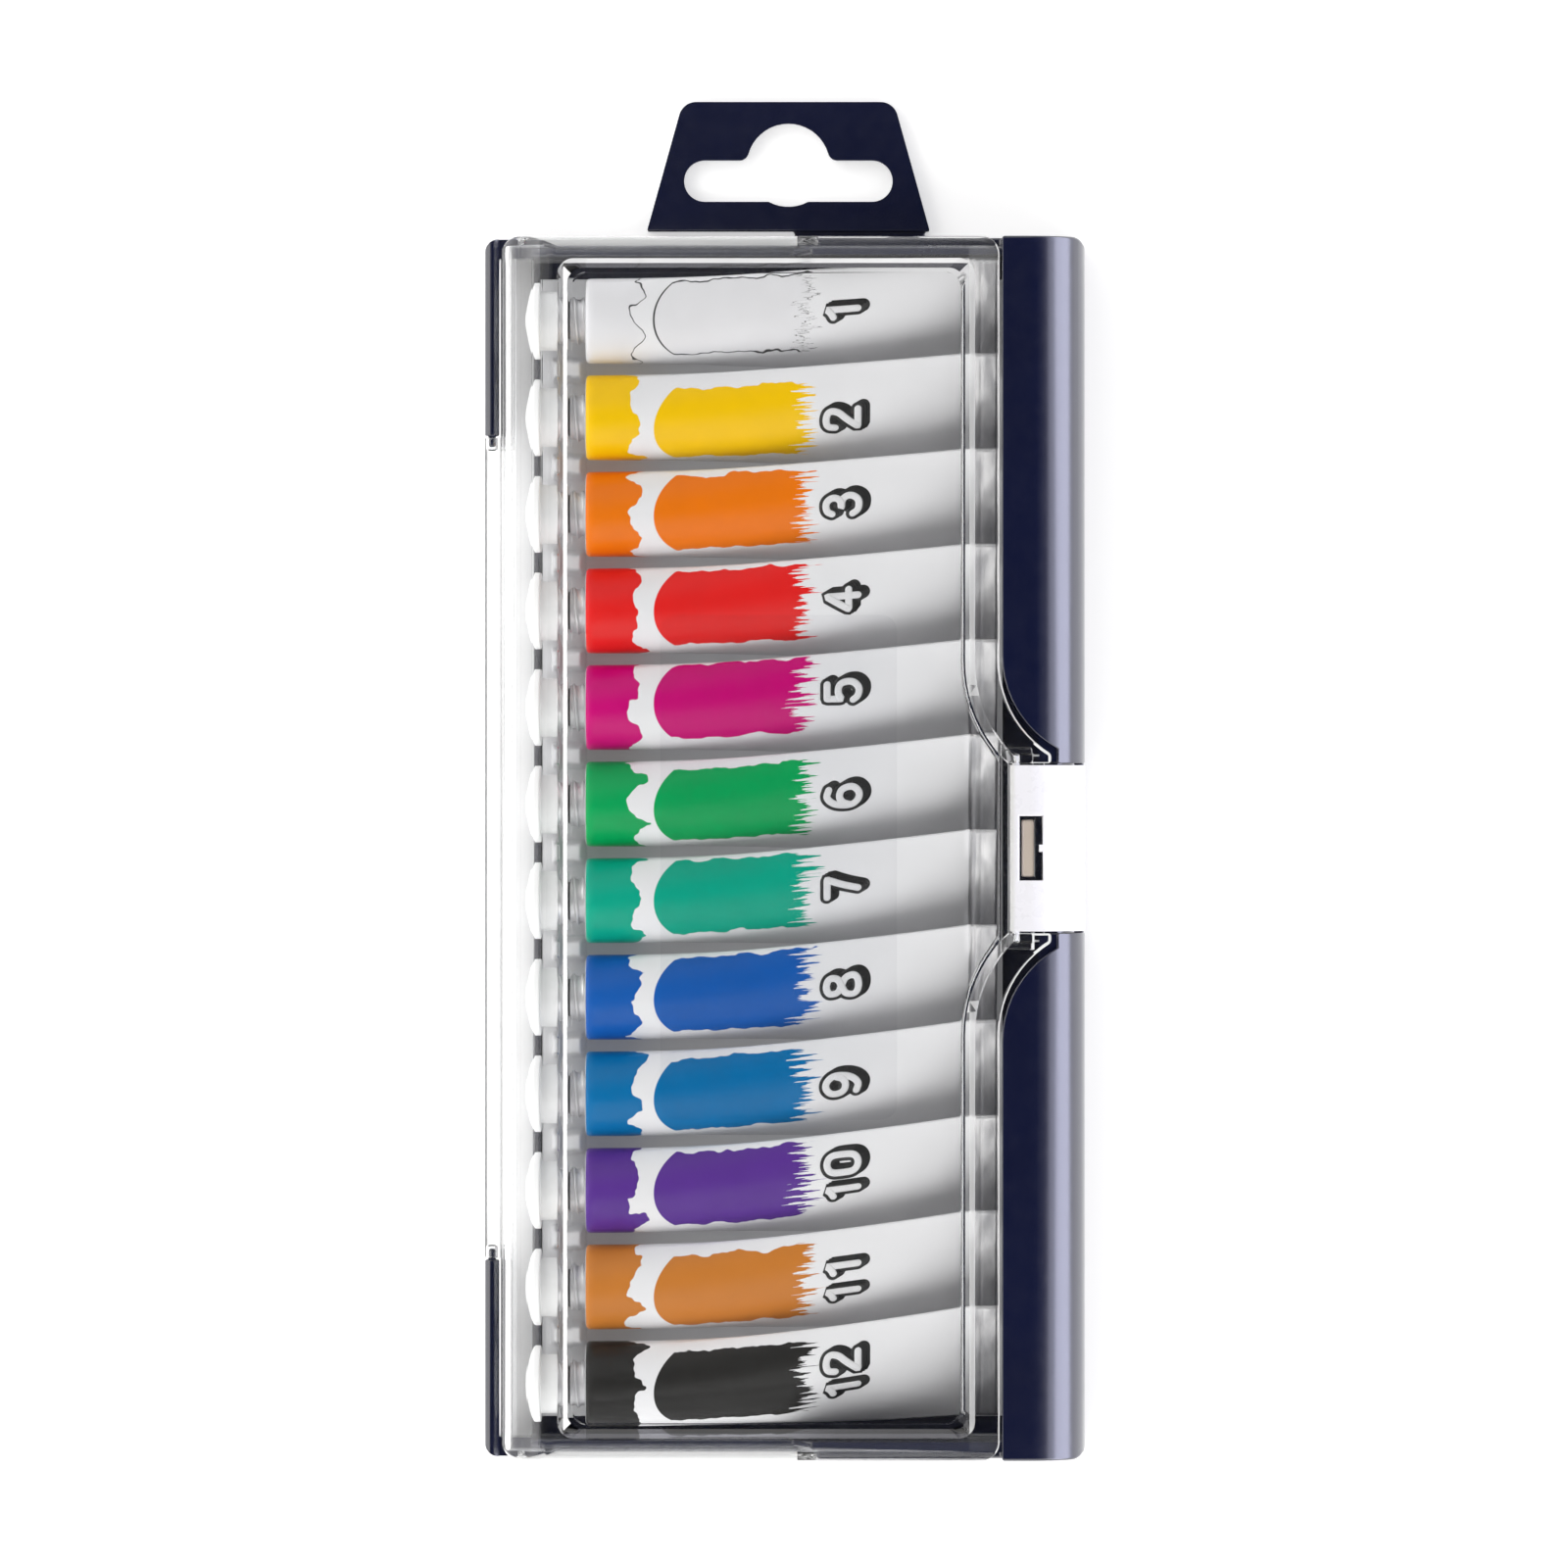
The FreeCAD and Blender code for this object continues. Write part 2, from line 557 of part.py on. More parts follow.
def tail_shift(index):
    """How far a tail leans towards the hang tab: the row of tails is packed closer than the caps."""
    share = index / (TUBE_COUNT - 1)
    return FIRST_TAIL_SHIFT + (LAST_TAIL_SHIFT - FIRST_TAIL_SHIFT) * share


def tail_drop():
    """How far a tail sinks until its crimp's lower edge is a tube's gap above the sheet."""
    tilt = math.radians(TAIL_TILT)
    reach = flat_half_width(TUBE_D / 2, 0) * math.sin(tilt) + CRIMP_THICK / 2 * math.cos(tilt)
    return TUBE_D / 2 - reach


def flat_half_width(radius, low):
    """Half width of an oval of half height low that keeps the round tube's girth, by halving."""
    small = radius
    large = 2 * radius
    for _ in range(40):
        middle = (small + large) / 2
        girth = 3 * (middle + low) - math.sqrt((3 * middle + low) * (middle + 3 * low))
        small, large = (middle, large) if girth < 2 * radius else (small, middle)
    return small


def ring(x, y, z, wide, low):
    """Corners of an oval with SIDES flats that faces along X, leaning by the tails' tilt."""
    tilt = math.radians(TAIL_TILT)
    points = []
    for step in range(SIDES):
        angle = 2 * math.pi * step / SIDES
        across = wide * math.cos(angle)
        up = low * math.sin(angle)
        points.append(V(x, y + across * math.cos(tilt) - up * math.sin(tilt),
                        z + across * math.sin(tilt) + up * math.cos(tilt)))
    return points


def skin(rings):
    """A closed solid through rings of corners, with flat ends and two triangles per side.

    Of a side's two diagonals the outer one is the fold, so the skin bulges and never dents.
    """
    faces = [Part.Face(Part.makePolygon(end + end[:1])) for end in (rings[0], rings[-1])]
    for near, far in zip(rings, rings[1:]):
        middle = sum(near + far, V()) / SIDES
        for step in range(SIDES):
            after = (step + 1) % SIDES
            a, b, c, d = near[step], near[after], far[after], far[step]
            outer = (a + c - middle).Length > (b + d - middle).Length
            for corners in ((a, d, c), (a, c, b)) if outer else ((a, d, b), (d, c, b)):
                faces.append(Part.Face(Part.makePolygon(corners + corners[:1])))
    solid = Part.Solid(Part.Shell(faces))
    solid.fix(TOUCH, TOUCH, TOUCH)
    return solid.removeSplitter()


def turned(profile, y):
    """A round piece on a tube's axis, from pairs of X and radius."""
    return skin([ring(x, y, TUBE_Z, radius, radius) for x, radius in profile])


def tube_ovals(shares, index, wall):
    """Rings of the tube's body from shoulder to tail, thinned by the wall."""
    y = tube_y(index)
    lean = tail_shift(index)
    rings = []
    for share, left in shares:
        low = TUBE_D / 2 * left
        wide = flat_half_width(TUBE_D / 2, low)
        rings.append(ring(SHOULDER_X + TAPER_LENGTH * share, y + lean * share * share,
                          TUBE_Z - tail_drop() * share * share, wide - wall, low - wall))
    return rings


def crimp(index):
    """The folded flat end of a tube."""
    half = flat_half_width(TUBE_D / 2, 0)
    fold = Part.makeBox(CRIMP_LENGTH + CRIMP_THICK, 2 * half, CRIMP_THICK,
                        V(-CRIMP_THICK, -half, -CRIMP_THICK / 2))
    fold.rotate(V(0, 0, 0), V(1, 0, 0), TAIL_TILT)
    fold.translate(V(SHOULDER_X + TAPER_LENGTH, tube_y(index) + tail_shift(index), TUBE_Z - tail_drop()))
    return fold


def make_paint(index):
    """The paint that fills a tube."""
    return skin(tube_ovals(PAINT_SHARES, index, TUBE_WALL))


def make_tube(index):
    """Soft metal tube: spout, collar, shoulder, skin that flattens to the tail, folded crimp."""
    y = tube_y(index)
    spout_x = COLLAR_X - SPOUT_LENGTH
    cone_x = SHOULDER_X - SHOULDER_DEPTH
    neck = ((spout_x, SPOUT_D / 2), (COLLAR_X, SPOUT_D / 2), (COLLAR_X, COLLAR_D / 2), (cone_x, COLLAR_D / 2))
    rings = [ring(x, y, TUBE_Z, radius, radius) for x, radius in neck]
    body = skin(rings + tube_ovals(SQUASH_SHARES, index, 0))
    mouth = turned(((spout_x - OVER, MOUTH_D / 2), (SHOULDER_X + TUBE_WALL, MOUTH_D / 2)), y)
    return body.cut([make_paint(index), mouth]).fuse(crimp(index)).removeSplitter()


def make_cap(y):
    """Screw cap: domed disc, plain grip and the bore that turns on the spout."""
    rim = CAP_DISC_D / 2
    dome_radius = (rim ** 2 + CAP_DOME ** 2) / (2 * CAP_DOME)
    half_angle = math.asin(rim / dome_radius)
    dome = []
    for share in DOME_SHARES:
        angle = half_angle * share
        fall = dome_radius * (1 - math.cos(angle))
        dome.append((CAP_DISC_X - CAP_DOME + fall, dome_radius * math.sin(angle)))
    grip = CAP_BODY_D / 2
    cap = turned(dome + [(CAP_NECK_X, rim), (CAP_NECK_X, grip), (CAP_MOUTH_X, grip)], y)
    bore = (SPOUT_D / 2 + FIT) / math.cos(math.pi / SIDES)
    bore_end = COLLAR_X - SPOUT_LENGTH - CLEAR
    return cap.cut(turned(((bore_end, bore), (CAP_MOUTH_X + OVER, bore)), y))


def finger(y, inset):
    """One blunt finger between two tube necks, shrunk for its hollow underside."""
    half = FINGER_WIDTH / 2 - inset
    top = FINGER_TOP - FINGER_WIDTH / 2
    x0 = FINGER_LEFT + inset
    x1 = FINGER_RIGHT - inset
    wire = outline(
        V(x0, y - half, FLOOR), V(x0, y + half, FLOOR), V(x0, y + half, top),
        V(x0, y + half / 2, top + half), V(x0, y - half / 2, top + half), V(x0, y - half, top),
    )
    return Part.Face(wire).extrude(V(x1 - x0, 0, 0))


def make_insert():
    """White tray insert: a thin sheet, notched beside the latch, with a row of hollow fingers."""
    left = ARM_END + CLEAR
    sheet = block(left, INSERT_RIGHT, -INSERT_HALF, INSERT_HALF, FLOOR, FLOOR + SHEET)
    notch = block(TAIL_X + INSERT_TAIL_GAP, INSERT_RIGHT + OVER, -CURVE_Y, CURVE_Y, 0, FLOOR + OVER)
    places = [tube_y(index) + TUBE_PITCH / 2 for index in range(1, TUBE_COUNT)]
    sheet = sheet.cut(notch).fuse([finger(y, 0) for y in places])
    return sheet.cut([finger(y, SHEET) for y in places]).removeSplitter()


def save(name, shape):
    """Write one node, which must be a single solid."""
    assert len(shape.Solids) == 1 and shape.isValid(), name
    shape.Solids[0].exportStep("parts/" + name + ".step")


def main():
    os.makedirs("parts", exist_ok=True)
    save("base", make_base())
    save("lid", make_lid())
    save("lid_film", make_film())
    save("latch", make_latch())
    save("tray_insert", make_insert())
    for index in range(TUBE_COUNT):
        number = "%02d" % (index + 1)
        save("tube_" + number, make_tube(index))
        save("paint_" + number, make_paint(index))
        save("cap_" + number, make_cap(tube_y(index)))


main()
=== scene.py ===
"""Looks of a clear-lidded box of twelve gouache tubes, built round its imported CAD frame.

Metres throughout, in the frame's axes: X runs from the lid's hinge to the latch, Y towards the
hang tab and Z up from the table. Sizes are written in millimetres times MM.
"""

import logging
import math
from dataclasses import dataclass, field
from enum import Enum
from functools import partial

import bmesh
import bpy
import numpy as np
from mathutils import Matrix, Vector
from mathutils.bvhtree import BVHTree


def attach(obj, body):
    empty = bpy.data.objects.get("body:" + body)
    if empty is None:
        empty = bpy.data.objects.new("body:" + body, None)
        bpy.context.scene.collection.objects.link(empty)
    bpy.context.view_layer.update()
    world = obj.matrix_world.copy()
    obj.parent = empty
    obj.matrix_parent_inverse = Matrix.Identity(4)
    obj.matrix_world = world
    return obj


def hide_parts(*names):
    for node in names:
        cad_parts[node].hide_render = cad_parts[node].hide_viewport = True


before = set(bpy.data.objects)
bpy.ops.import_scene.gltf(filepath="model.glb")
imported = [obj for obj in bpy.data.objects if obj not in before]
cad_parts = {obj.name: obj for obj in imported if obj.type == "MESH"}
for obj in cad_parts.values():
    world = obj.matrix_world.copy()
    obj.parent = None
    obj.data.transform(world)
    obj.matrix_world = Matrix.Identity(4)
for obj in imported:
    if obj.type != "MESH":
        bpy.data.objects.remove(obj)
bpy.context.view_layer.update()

LOG = logging.getLogger("paint_box")
MM = 0.001
Colour = tuple[float, float, float]
Place = tuple[float, float, float]
Socket = bpy.types.NodeSocket


class Body(Enum):
    """CAD bodies that pieces ride on."""

    BASE = "base"
    LID = "lid"
    LATCH = "latch"


class Slot(Enum):
    """Names of the record's material slots for the moulded pieces."""

    NAVY = "navy_plastic"
    CLEAR = "clear_plastic"
    FILM = "clear_film"
    LATCH = "white_plastic"
    CAP = "cap_white"
    INSERT = "insert_white"


def linear(*seen: float) -> Colour:
    """Undo the screen's curve, the 2.4 power above a straight toe, for a colour of 0 to 255."""
    part = np.array(seen) / 255
    lit = np.where(part <= 0.04045, part / 12.92, ((part + 0.055) / 1.055) ** 2.4)
    return tuple(float(value) for value in lit)


def dimmed(colour: Colour, share: float) -> Colour:
    """Give a share of a colour's light."""
    return tuple(part * share for part in colour)


def ease(start: float, end: float, value: np.ndarray) -> np.ndarray:
    """Rise smoothly from 0 at start to 1 at end: three t squared minus two t cubed."""
    t = np.clip((value - start) / (end - start), 0, 1)
    return t * t * (3 - 2 * t)


def hump(start: float, full: float, fading: float, end: float, value: np.ndarray) -> np.ndarray:
    """Rise smoothly from start to full, and fall smoothly from fading to end."""
    return ease(start, full, value) * (1 - ease(fading, end, value))


# --------------------------------------------------------------------------- meshes


def put_in_mesh(name: str, points: np.ndarray, faces: list[np.ndarray]) -> bpy.types.Mesh:
    """Write points and faces into a new mesh as whole arrays.

    Args:
        name: Name of the mesh.
        points: Points by three.
        faces: Arrays of corner numbers, one array for each count of corners.

    Returns:
        The mesh, with smooth faces.
    """
    mesh = bpy.data.meshes.new(name)
    corners = np.concatenate([group.ravel() for group in faces]).astype(np.int32)
    sizes = np.concatenate([np.full(len(group), group.shape[1]) for group in faces])
    starts = np.concatenate(([0], np.cumsum(sizes)[:-1])).astype(np.int32)
    mesh.vertices.add(len(points))
    mesh.vertices.foreach_set("co", np.asarray(points, np.float32).ravel())
    mesh.loops.add(len(corners))
    mesh.loops.foreach_set("vertex_index", corners)
    mesh.polygons.add(len(starts))
    mesh.polygons.foreach_set("loop_start", starts)
    mesh.polygons.foreach_set("use_smooth", np.ones(len(starts), bool))
    mesh.update(calc_edges=True)
    mesh.validate()
    return mesh


@dataclass
class Surface:
    """A surface worked out on a grid of two parameters, before it is put into a mesh.

    The first index of points runs along the surface and the second one round it.
    """

    points: np.ndarray
    closed_round: bool = True
    outward_flip: bool = False

    def corners(self) -> tuple[np.ndarray, np.ndarray]:
        """Give the rows and columns of each cell's four corners, not wrapped round."""
        rows, columns = self.points.shape[:2]
        across = columns if self.closed_round else columns - 1
        row, column = np.meshgrid(np.arange(rows - 1), np.arange(across), indexing="ij")
        steps = np.array(((0, 0, 1, 1), (0, 1, 1, 0)))
        if self.outward_flip:
            steps = steps[:, ::-1]
        return row.reshape(-1, 1) + steps[0], column.reshape(-1, 1) + steps[1]

    def faces(self) -> np.ndarray:
        """Number the corners of every cell in the flat list of points, wrapped round."""
        row, column = self.corners()
        columns = self.points.shape[1]
        return row * columns + column % columns

    def mesh(self, name: str, capped: bool = True) -> bpy.types.Mesh:
        """Put the surface into a mesh, with a flat face over the first and last ring if capped."""
        rows, columns = self.points.shape[:2]
        first = np.arange(columns)[None, :]
        ends = [first[:, ::-1], first + (rows - 1) * columns] if capped else []
        return put_in_mesh(name, self.points.reshape(-1, 3), [self.faces(), *ends])


def add_piece(mesh: bpy.types.Mesh, body: str, slot: str, node: str | None,
              *materials: bpy.types.Material) -> bpy.types.Object:
    """Make a mesh, already in place, a piece of the object that rides on a body.

    Args:
        mesh: The mesh, which also names the piece.
        body: CAD body that it moves with.
        slot: Slot of the record for its finish; not used.
        node: CAD node that it stands for, if any.
        materials: Its materials in order.

    Returns:
        The new object, at the origin.
    """
    piece = bpy.data.objects.new(mesh.name, mesh)
    bpy.context.scene.collection.objects.link(piece)
    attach(piece, body)
    if node:
        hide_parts(node)
    mesh.materials.clear()
    for material in materials:
        mesh.materials.append(material)
    LOG.info("%s: %d faces on %s", mesh.name, len(mesh.polygons), body)
    return piece


def modify(piece: bpy.types.Object, name: str, kind: str, **settings: object) -> None:
    """Add a modifier with these settings to a piece."""
    made = piece.modifiers.new(name, kind)
    for key, value in settings.items():
        setattr(made, key, value)


# ------------------------------------------------------------------------- finishes


class NodeSketch:
    """A material's or a world's node tree, built a node at a time."""

    NOISE_SPAN = (0.3, 0.7)

    def __init__(self, owner: bpy.types.Material | bpy.types.World) -> None:
        """Start the owner's tree empty."""
        owner.use_nodes = True
        self.tree = owner.node_tree
        self.tree.nodes.clear()

    def node(self, kind: str, inputs: dict | None = None, **settings: object) -> bpy.types.Node:
        """Add a node.

        Args:
            kind: Blender's name for the node type, without the ShaderNode in front.
            inputs: Values or other nodes' sockets, by the input's name or number.
            settings: Plain properties of the node.

        Returns:
            The new node.
        """
        made = self.tree.nodes.new("ShaderNode" + kind)
        for key, value in settings.items():
            setattr(made, key, value)
        for key, value in (inputs or {}).items():
            if isinstance(value, Socket):
                self.tree.links.new(value, made.inputs[key])
            else:
                made.inputs[key].default_value = value
        return made

    def place(self) -> Socket:
        """Give the piece's own coordinates, in metres."""
        return self.node("TexCoord").outputs["Object"]

    def mapped(self, vector: Socket, **inputs: Place) -> Socket:
        """Move a place by a Location, or stretch it by a Scale."""
        return self.node("Mapping", {"Vector": vector, **inputs}).outputs[0]

    def noise(self, vector: Socket, scale: float, detail: float = 3.0,
              rough: float = 0.55) -> Socket:
        """Give a noise value about one half."""
        return self.node("TexNoise", {"Vector": vector, "Scale": scale, "Detail": detail,
                                      "Roughness": rough}).outputs["Fac"]

    def maths(self, operation: str, *values: object) -> Socket:
        """Do one sum on one to three values."""
        return self.node("Math", dict(enumerate(values)), operation=operation).outputs[0]

    def spread(self, value: Socket, low: float, high: float, to_low: float = 0.0,
               to_high: float = 1.0) -> Socket:
        """Map the values from low to high to another range, held at its ends."""
        return self.node("MapRange", {"Value": value, "From Min": low, "From Max": high,
                                      "To Min": to_low, "To Max": to_high}).outputs["Result"]

    def uneven(self, noise: Socket, low: float, high: float) -> Socket:
        """Turn a noise into values from low to high."""
        return self.spread(noise, *self.NOISE_SPAN, low, high)

    def blend(self, share: Socket, first: Socket | Colour, second: Socket | Colour) -> Socket:
        """Mix two colours by a share of the second."""
        ends = [(*end, 1.0) if isinstance(end, tuple) else end for end in (first, second)]
        return self.node("Mix", {0: share, 6: ends[0], 7: ends[1]}, data_type="RGBA").outputs[2]

    def bump(self, height: Socket, strength: float, distance: float) -> Socket:
        """Give normals tilted by a height, with its full depth in metres."""
        return self.node("Bump", {"Height": height, "Strength": strength,
                                  "Distance": distance}).outputs["Normal"]

    def principled(self, inputs: dict) -> Socket:
        """Give the main shader with these inputs set or linked."""
        return self.node("BsdfPrincipled", inputs).outputs["BSDF"]


@dataclass(frozen=True)
class Finish:
    """A surface finish, each kind of which draws a shader of its own."""

    name: str

    def shader(self, sketch: NodeSketch) -> Socket:
        """Draw the finish.

        Args:
            sketch: The material's node tree, still empty.

        Returns:
            The shader that the material shows.
        """
        raise NotImplementedError

    def material(self) -> bpy.types.Material:
        """Make a new material of the finish."""
        made = bpy.data.materials.new(self.name)
        sketch = NodeSketch(made)
        sketch.node("OutputMaterial", {"Surface": self.shader(sketch)})
        return made


@dataclass(frozen=True)
class MouldedPlastic(Finish):
    """Opaque moulded plastic: a faint cloud of colour, fine grain and uneven gloss."""

    colour: Colour
    cloud: Colour
    roughness: float = 0.35
    roughness_swing: float = 0.08
    specular: float = 0.5
    coat: float = 0.0
    grain_depth: float = 0.012 * MM
    grain_scale: float = 2600.0
    cloud_scale: float = 45.0
    gloss_scale: float = 405.0
    # Emission strength: a painted glow wherever it is above zero.
    glow: float = 0.0

    def shader(self, sketch: NodeSketch) -> Socket:
        """Shade by broad noise, roughen by finer noise, and bump by grain a third of a mm wide."""
        place = sketch.place()
        broad = sketch.noise(place, self.cloud_scale)
        fine = sketch.noise(place, self.gloss_scale, 5)
        grain = sketch.noise(place, self.grain_scale, 2)
        swing = self.roughness_swing
        return sketch.principled({
            "Base Color": sketch.blend(sketch.spread(broad, 0.35, 0.65), self.colour, self.cloud),
            "Roughness": sketch.uneven(fine, self.roughness - swing, self.roughness + swing),
            "Specular IOR Level": self.specular,
            "Coat Weight": self.coat, "Coat Roughness": self.roughness,
            "Emission Color": (*self.colour, 1.0), "Emission Strength": self.glow,
            "Normal": sketch.bump(grain, 0.35, self.grain_depth)})


@dataclass(frozen=True)
class ClearPlastic(Finish):
    """Clear moulded styrene that lets light through to what it covers; a matt share of its tint is
    painted light on lit edges, and painted shade where the tint is dark.
    """

    tint: Colour = (0.985, 0.99, 0.995)
    ior: float = 1.5
    roughness: float = 0.02
    # Share shown as matt tint instead of clear: a painted highlight where the tint is pale, painted
    # shade where it is dark.
    milk: float = 0.0
    let_through: Colour = (0.97, 0.975, 0.98)
    smear_scale: float = 160.0
    wave_scale: float = 55.0

    def shader(self, sketch: NodeSketch) -> Socket:
        """Make glass with uneven gloss and a flow wave that lamps' light goes straight through."""
        place = sketch.place()
        smear = sketch.noise(place, self.smear_scale, 4)
        wave = sketch.noise(place, self.wave_scale, 1)
        glass = sketch.principled({
            "Base Color": sketch.blend(smear, self.tint, dimmed(self.tint, 0.965)),
            "Roughness": sketch.spread(smear, 0.35, 0.75, self.roughness * 0.4,
                                       self.roughness * 1.6),
            "IOR": self.ior, "Transmission Weight": 1.0 - self.milk,
            "Normal": sketch.bump(wave, 0.08, 0.02 * MM)})
        path = sketch.node("LightPath").outputs
        lamp = sketch.maths("MAXIMUM", path["Is Shadow Ray"], path["Is Diffuse Ray"])
        straight = sketch.node("BsdfTransparent", {"Color": (*self.let_through, 1.0)}).outputs[0]
        return sketch.node("MixShader", {0: lamp, 1: glass, 2: straight}).outputs[0]


@dataclass(frozen=True)
class BareAluminium(Finish):
    """Soft bare aluminium of a tube's neck and crimp, rubbed and uneven."""

    colour: Colour = (0.82, 0.815, 0.82)
    rubbed: Colour = (0.6, 0.6, 0.62)
    roughness: tuple[float, float] = (0.4, 0.62)
    smudge_scale: float = 420.0
    line_scale: float = 5200.0

    def shader(self, sketch: NodeSketch) -> Socket:
        """Make metal that follows smudges drawn along the tube, with fine rolling lines."""
        smudged = sketch.mapped(sketch.place(), Scale=(1, 0.35, 0.35))
        rolled = sketch.mapped(sketch.place(), Scale=(0.15, 1, 1))
        smudge = sketch.noise(smudged, self.smudge_scale, 4)
        lines = sketch.noise(rolled, self.line_scale, 2)
        return sketch.principled({
            "Base Color": sketch.blend(sketch.spread(smudge, 0.35, 0.7), self.colour, self.rubbed),
            "Roughness": sketch.uneven(smudge, *self.roughness), "Metallic": 1.0,
            "Normal": sketch.bump(lines, 0.25, 0.02 * MM)})


@dataclass(frozen=True)
class PaintPaste(Finish):
    """Paint inside a tube, also the ink of that colour."""

    colour: Colour
    lump_scale: float = 300.0

    def shader(self, sketch: NodeSketch) -> Socket:
        """Make the colour with a slow cloud, satin, with soft lumps."""
        lumps = sketch.noise(sketch.place(), self.lump_scale, 4)
        return sketch.principled({
            "Base Color": sketch.blend(lumps, dimmed(self.colour, 0.82), self.colour),
            "Roughness": sketch.uneven(lumps, 0.35, 0.5),
            "Normal": sketch.bump(lumps, 0.3, 0.1 * MM)})


@dataclass(frozen=True)
class PrintedLacquer(Finish):
    """White lacquer of a tube, printed with a band and a brushed swatch of its paint's colour.

    Label places are in millimetres: along the tube from the box's middle, and round the tube
    from the middle of the label.
    """

    ink: Colour
    seed: float
    outlined: bool = False
    white: Colour = (0.82, 0.815, 0.825)
    line: Colour = (0.05, 0.05, 0.05)
    band_end: float = -23.6
    band_wave: float = 0.9
    band_wave_turn: float = 0.85
    waver: float = 7.0
    waver_scale: float = 0.22
    side_waver: float = 0.45
    swatch_start: float = -20.8
    swatch_end: float = 3.2
    swatch_half: float = 6.6
    swatch_bow: float = 3.2
    streak: float = 17.0
    bristle_scale: float = 1.5
    bristle_pull: float = 0.05
    cloud_scale: float = 210.0
    peel_scale: float = 900.0

    def inked(self, sketch: NodeSketch) -> Socket:
        """Work out how much of the lacquer's print covers a place.

        Args:
            sketch: The material's node tree.

        Returns:
            A distance into the print, in millimetres: over zero in the shoulder's band, which
            ends in slow waves, or in the swatch, whose sides waver and whose far end is streaked.
        """
        add, less, times = (partial(sketch.maths, kind) for kind in ("ADD", "SUBTRACT", "MULTIPLY"))
        label = sketch.node("UVMap", uv_map="label").outputs[0]
        along, around, _ = sketch.node("SeparateXYZ", {0: label}).outputs
        moved = sketch.mapped(label, Location=(self.seed, self.seed * 1.7, 0))
        swing = times(less(sketch.noise(moved, self.waver_scale, 2), 0.5), self.waver)
        drawn = sketch.mapped(moved, Scale=(self.bristle_pull, 1.0, 1.0))
        bristle = sketch.noise(drawn, self.bristle_scale, 3, 0.65)
        turn = add(times(around, self.band_wave_turn), self.seed)
        wave = times(sketch.maths("SINE", turn), self.band_wave)
        band = less(add(add(swing, wave), self.band_end), along)
        far = less(add(times(less(bristle, 0.5), self.streak), self.swatch_end), along)
        beside = sketch.maths("ABSOLUTE", sketch.maths("DIVIDE", around, self.swatch_half))
        bow = times(sketch.maths("POWER", beside, 2.0), self.swatch_bow)
        near = less(less(along, self.swatch_start), bow)
        half = add(times(swing, self.side_waver), self.swatch_half)
        side = less(half, sketch.maths("ABSOLUTE", around))
        swatch = sketch.maths("MINIMUM", sketch.maths("MINIMUM", far, near), side)
        return sketch.maths("MAXIMUM", band, swatch)

    def shader(self, sketch: NodeSketch) -> Socket:
        """Lay the print over white, with slow clouds in both, satin gloss and a faint peel."""
        depth = self.inked(sketch)
        cloud = sketch.noise(sketch.place(), self.cloud_scale, 3)
        peel = sketch.noise(sketch.place(), self.peel_scale, 2)
        ground = sketch.blend(cloud, self.white, dimmed(self.white, 0.96))
        inner = sketch.blend(cloud, self.ink, dimmed(self.ink, 0.88))
        shade = sketch.blend(sketch.spread(depth, -0.06, 0.06), ground, inner)
        if self.outlined:
            rim = sketch.spread(sketch.maths("ABSOLUTE", depth), 0.1, 0.2, 1, 0)
            shade = sketch.blend(rim, shade, self.line)
        return sketch.principled({
            "Base Color": shade, "Roughness": sketch.uneven(peel, 0.28, 0.4),
            "Specular IOR Level": 0.25, "Normal": sketch.bump(peel, 0.12, 0.02 * MM)})


NAVY = MouldedPlastic("navy_moulding", linear(4, 10, 39), linear(4, 9, 36), roughness=0.22,
                      roughness_swing=0.03, specular=0.8, coat=1.0, grain_depth=0.002 * MM)
LATCH_WHITE = MouldedPlastic("latch_white", linear(206, 205, 204), linear(202, 201, 200), 0.3)
CAP_WHITE = MouldedPlastic("cap_white_look", linear(240, 240, 239), linear(234, 234, 234), 0.42)
# The insert's faint emission is a painted glow that lightens the shaded gaps between the tubes.
INSERT_WHITE_PAINTED_GLOW = MouldedPlastic("insert_white_look", linear(226, 226, 227), linear(219, 219, 221),
                              0.5, glow=0.12)
# The lug is clear plastic; its opaque warm beige is painted warm light on it.
LUG_PAINTED_WARM_LIGHT = MouldedPlastic("lug_frost", linear(190, 178, 166), linear(182, 170, 159), 0.4)
CLEAR = ClearPlastic("clear_moulding")
# Lid patch finishes that paint light and shade: matt white shares are painted highlights on lit
# edges and end walls, the two border finishes make the two ends painted lighter and dimmer, and the
# dark tints are painted shade on an edge and on slopes. The plain underside only bends light less.
LIT_EDGE = ClearPlastic("lit_edge", roughness=0.1, milk=0.85)
LIT_WALL = ClearPlastic("lit_end_wall", roughness=0.05, milk=0.38)
SOFT_PAINTED_HIGHLIGHT = ClearPlastic("soft_edge", roughness=0.1, milk=0.55)
PAINTED_BRIGHT_BORDER = ClearPlastic("hazy_border", milk=0.06)
PAINTED_DIM_BORDER = ClearPlastic("dim_border", milk=0.02)
PAINTED_DIM_EDGE = ClearPlastic("dim_edge", (0.1, 0.1, 0.12), roughness=0.1, milk=0.4)
SHADED = ClearPlastic("shaded_slope", (0.012, 0.012, 0.016))
PLAIN = ClearPlastic("plain_underside", ior=1.01)
FILM = ClearPlastic("clear_film_look", (0.98, 0.98, 0.985), 1.2, 0.06)
BLACK_INK = linear(38, 38, 38)
WHITE_INK = (0.82, 0.815, 0.825)


# --------------------------------------------------------------------- CAD mouldings


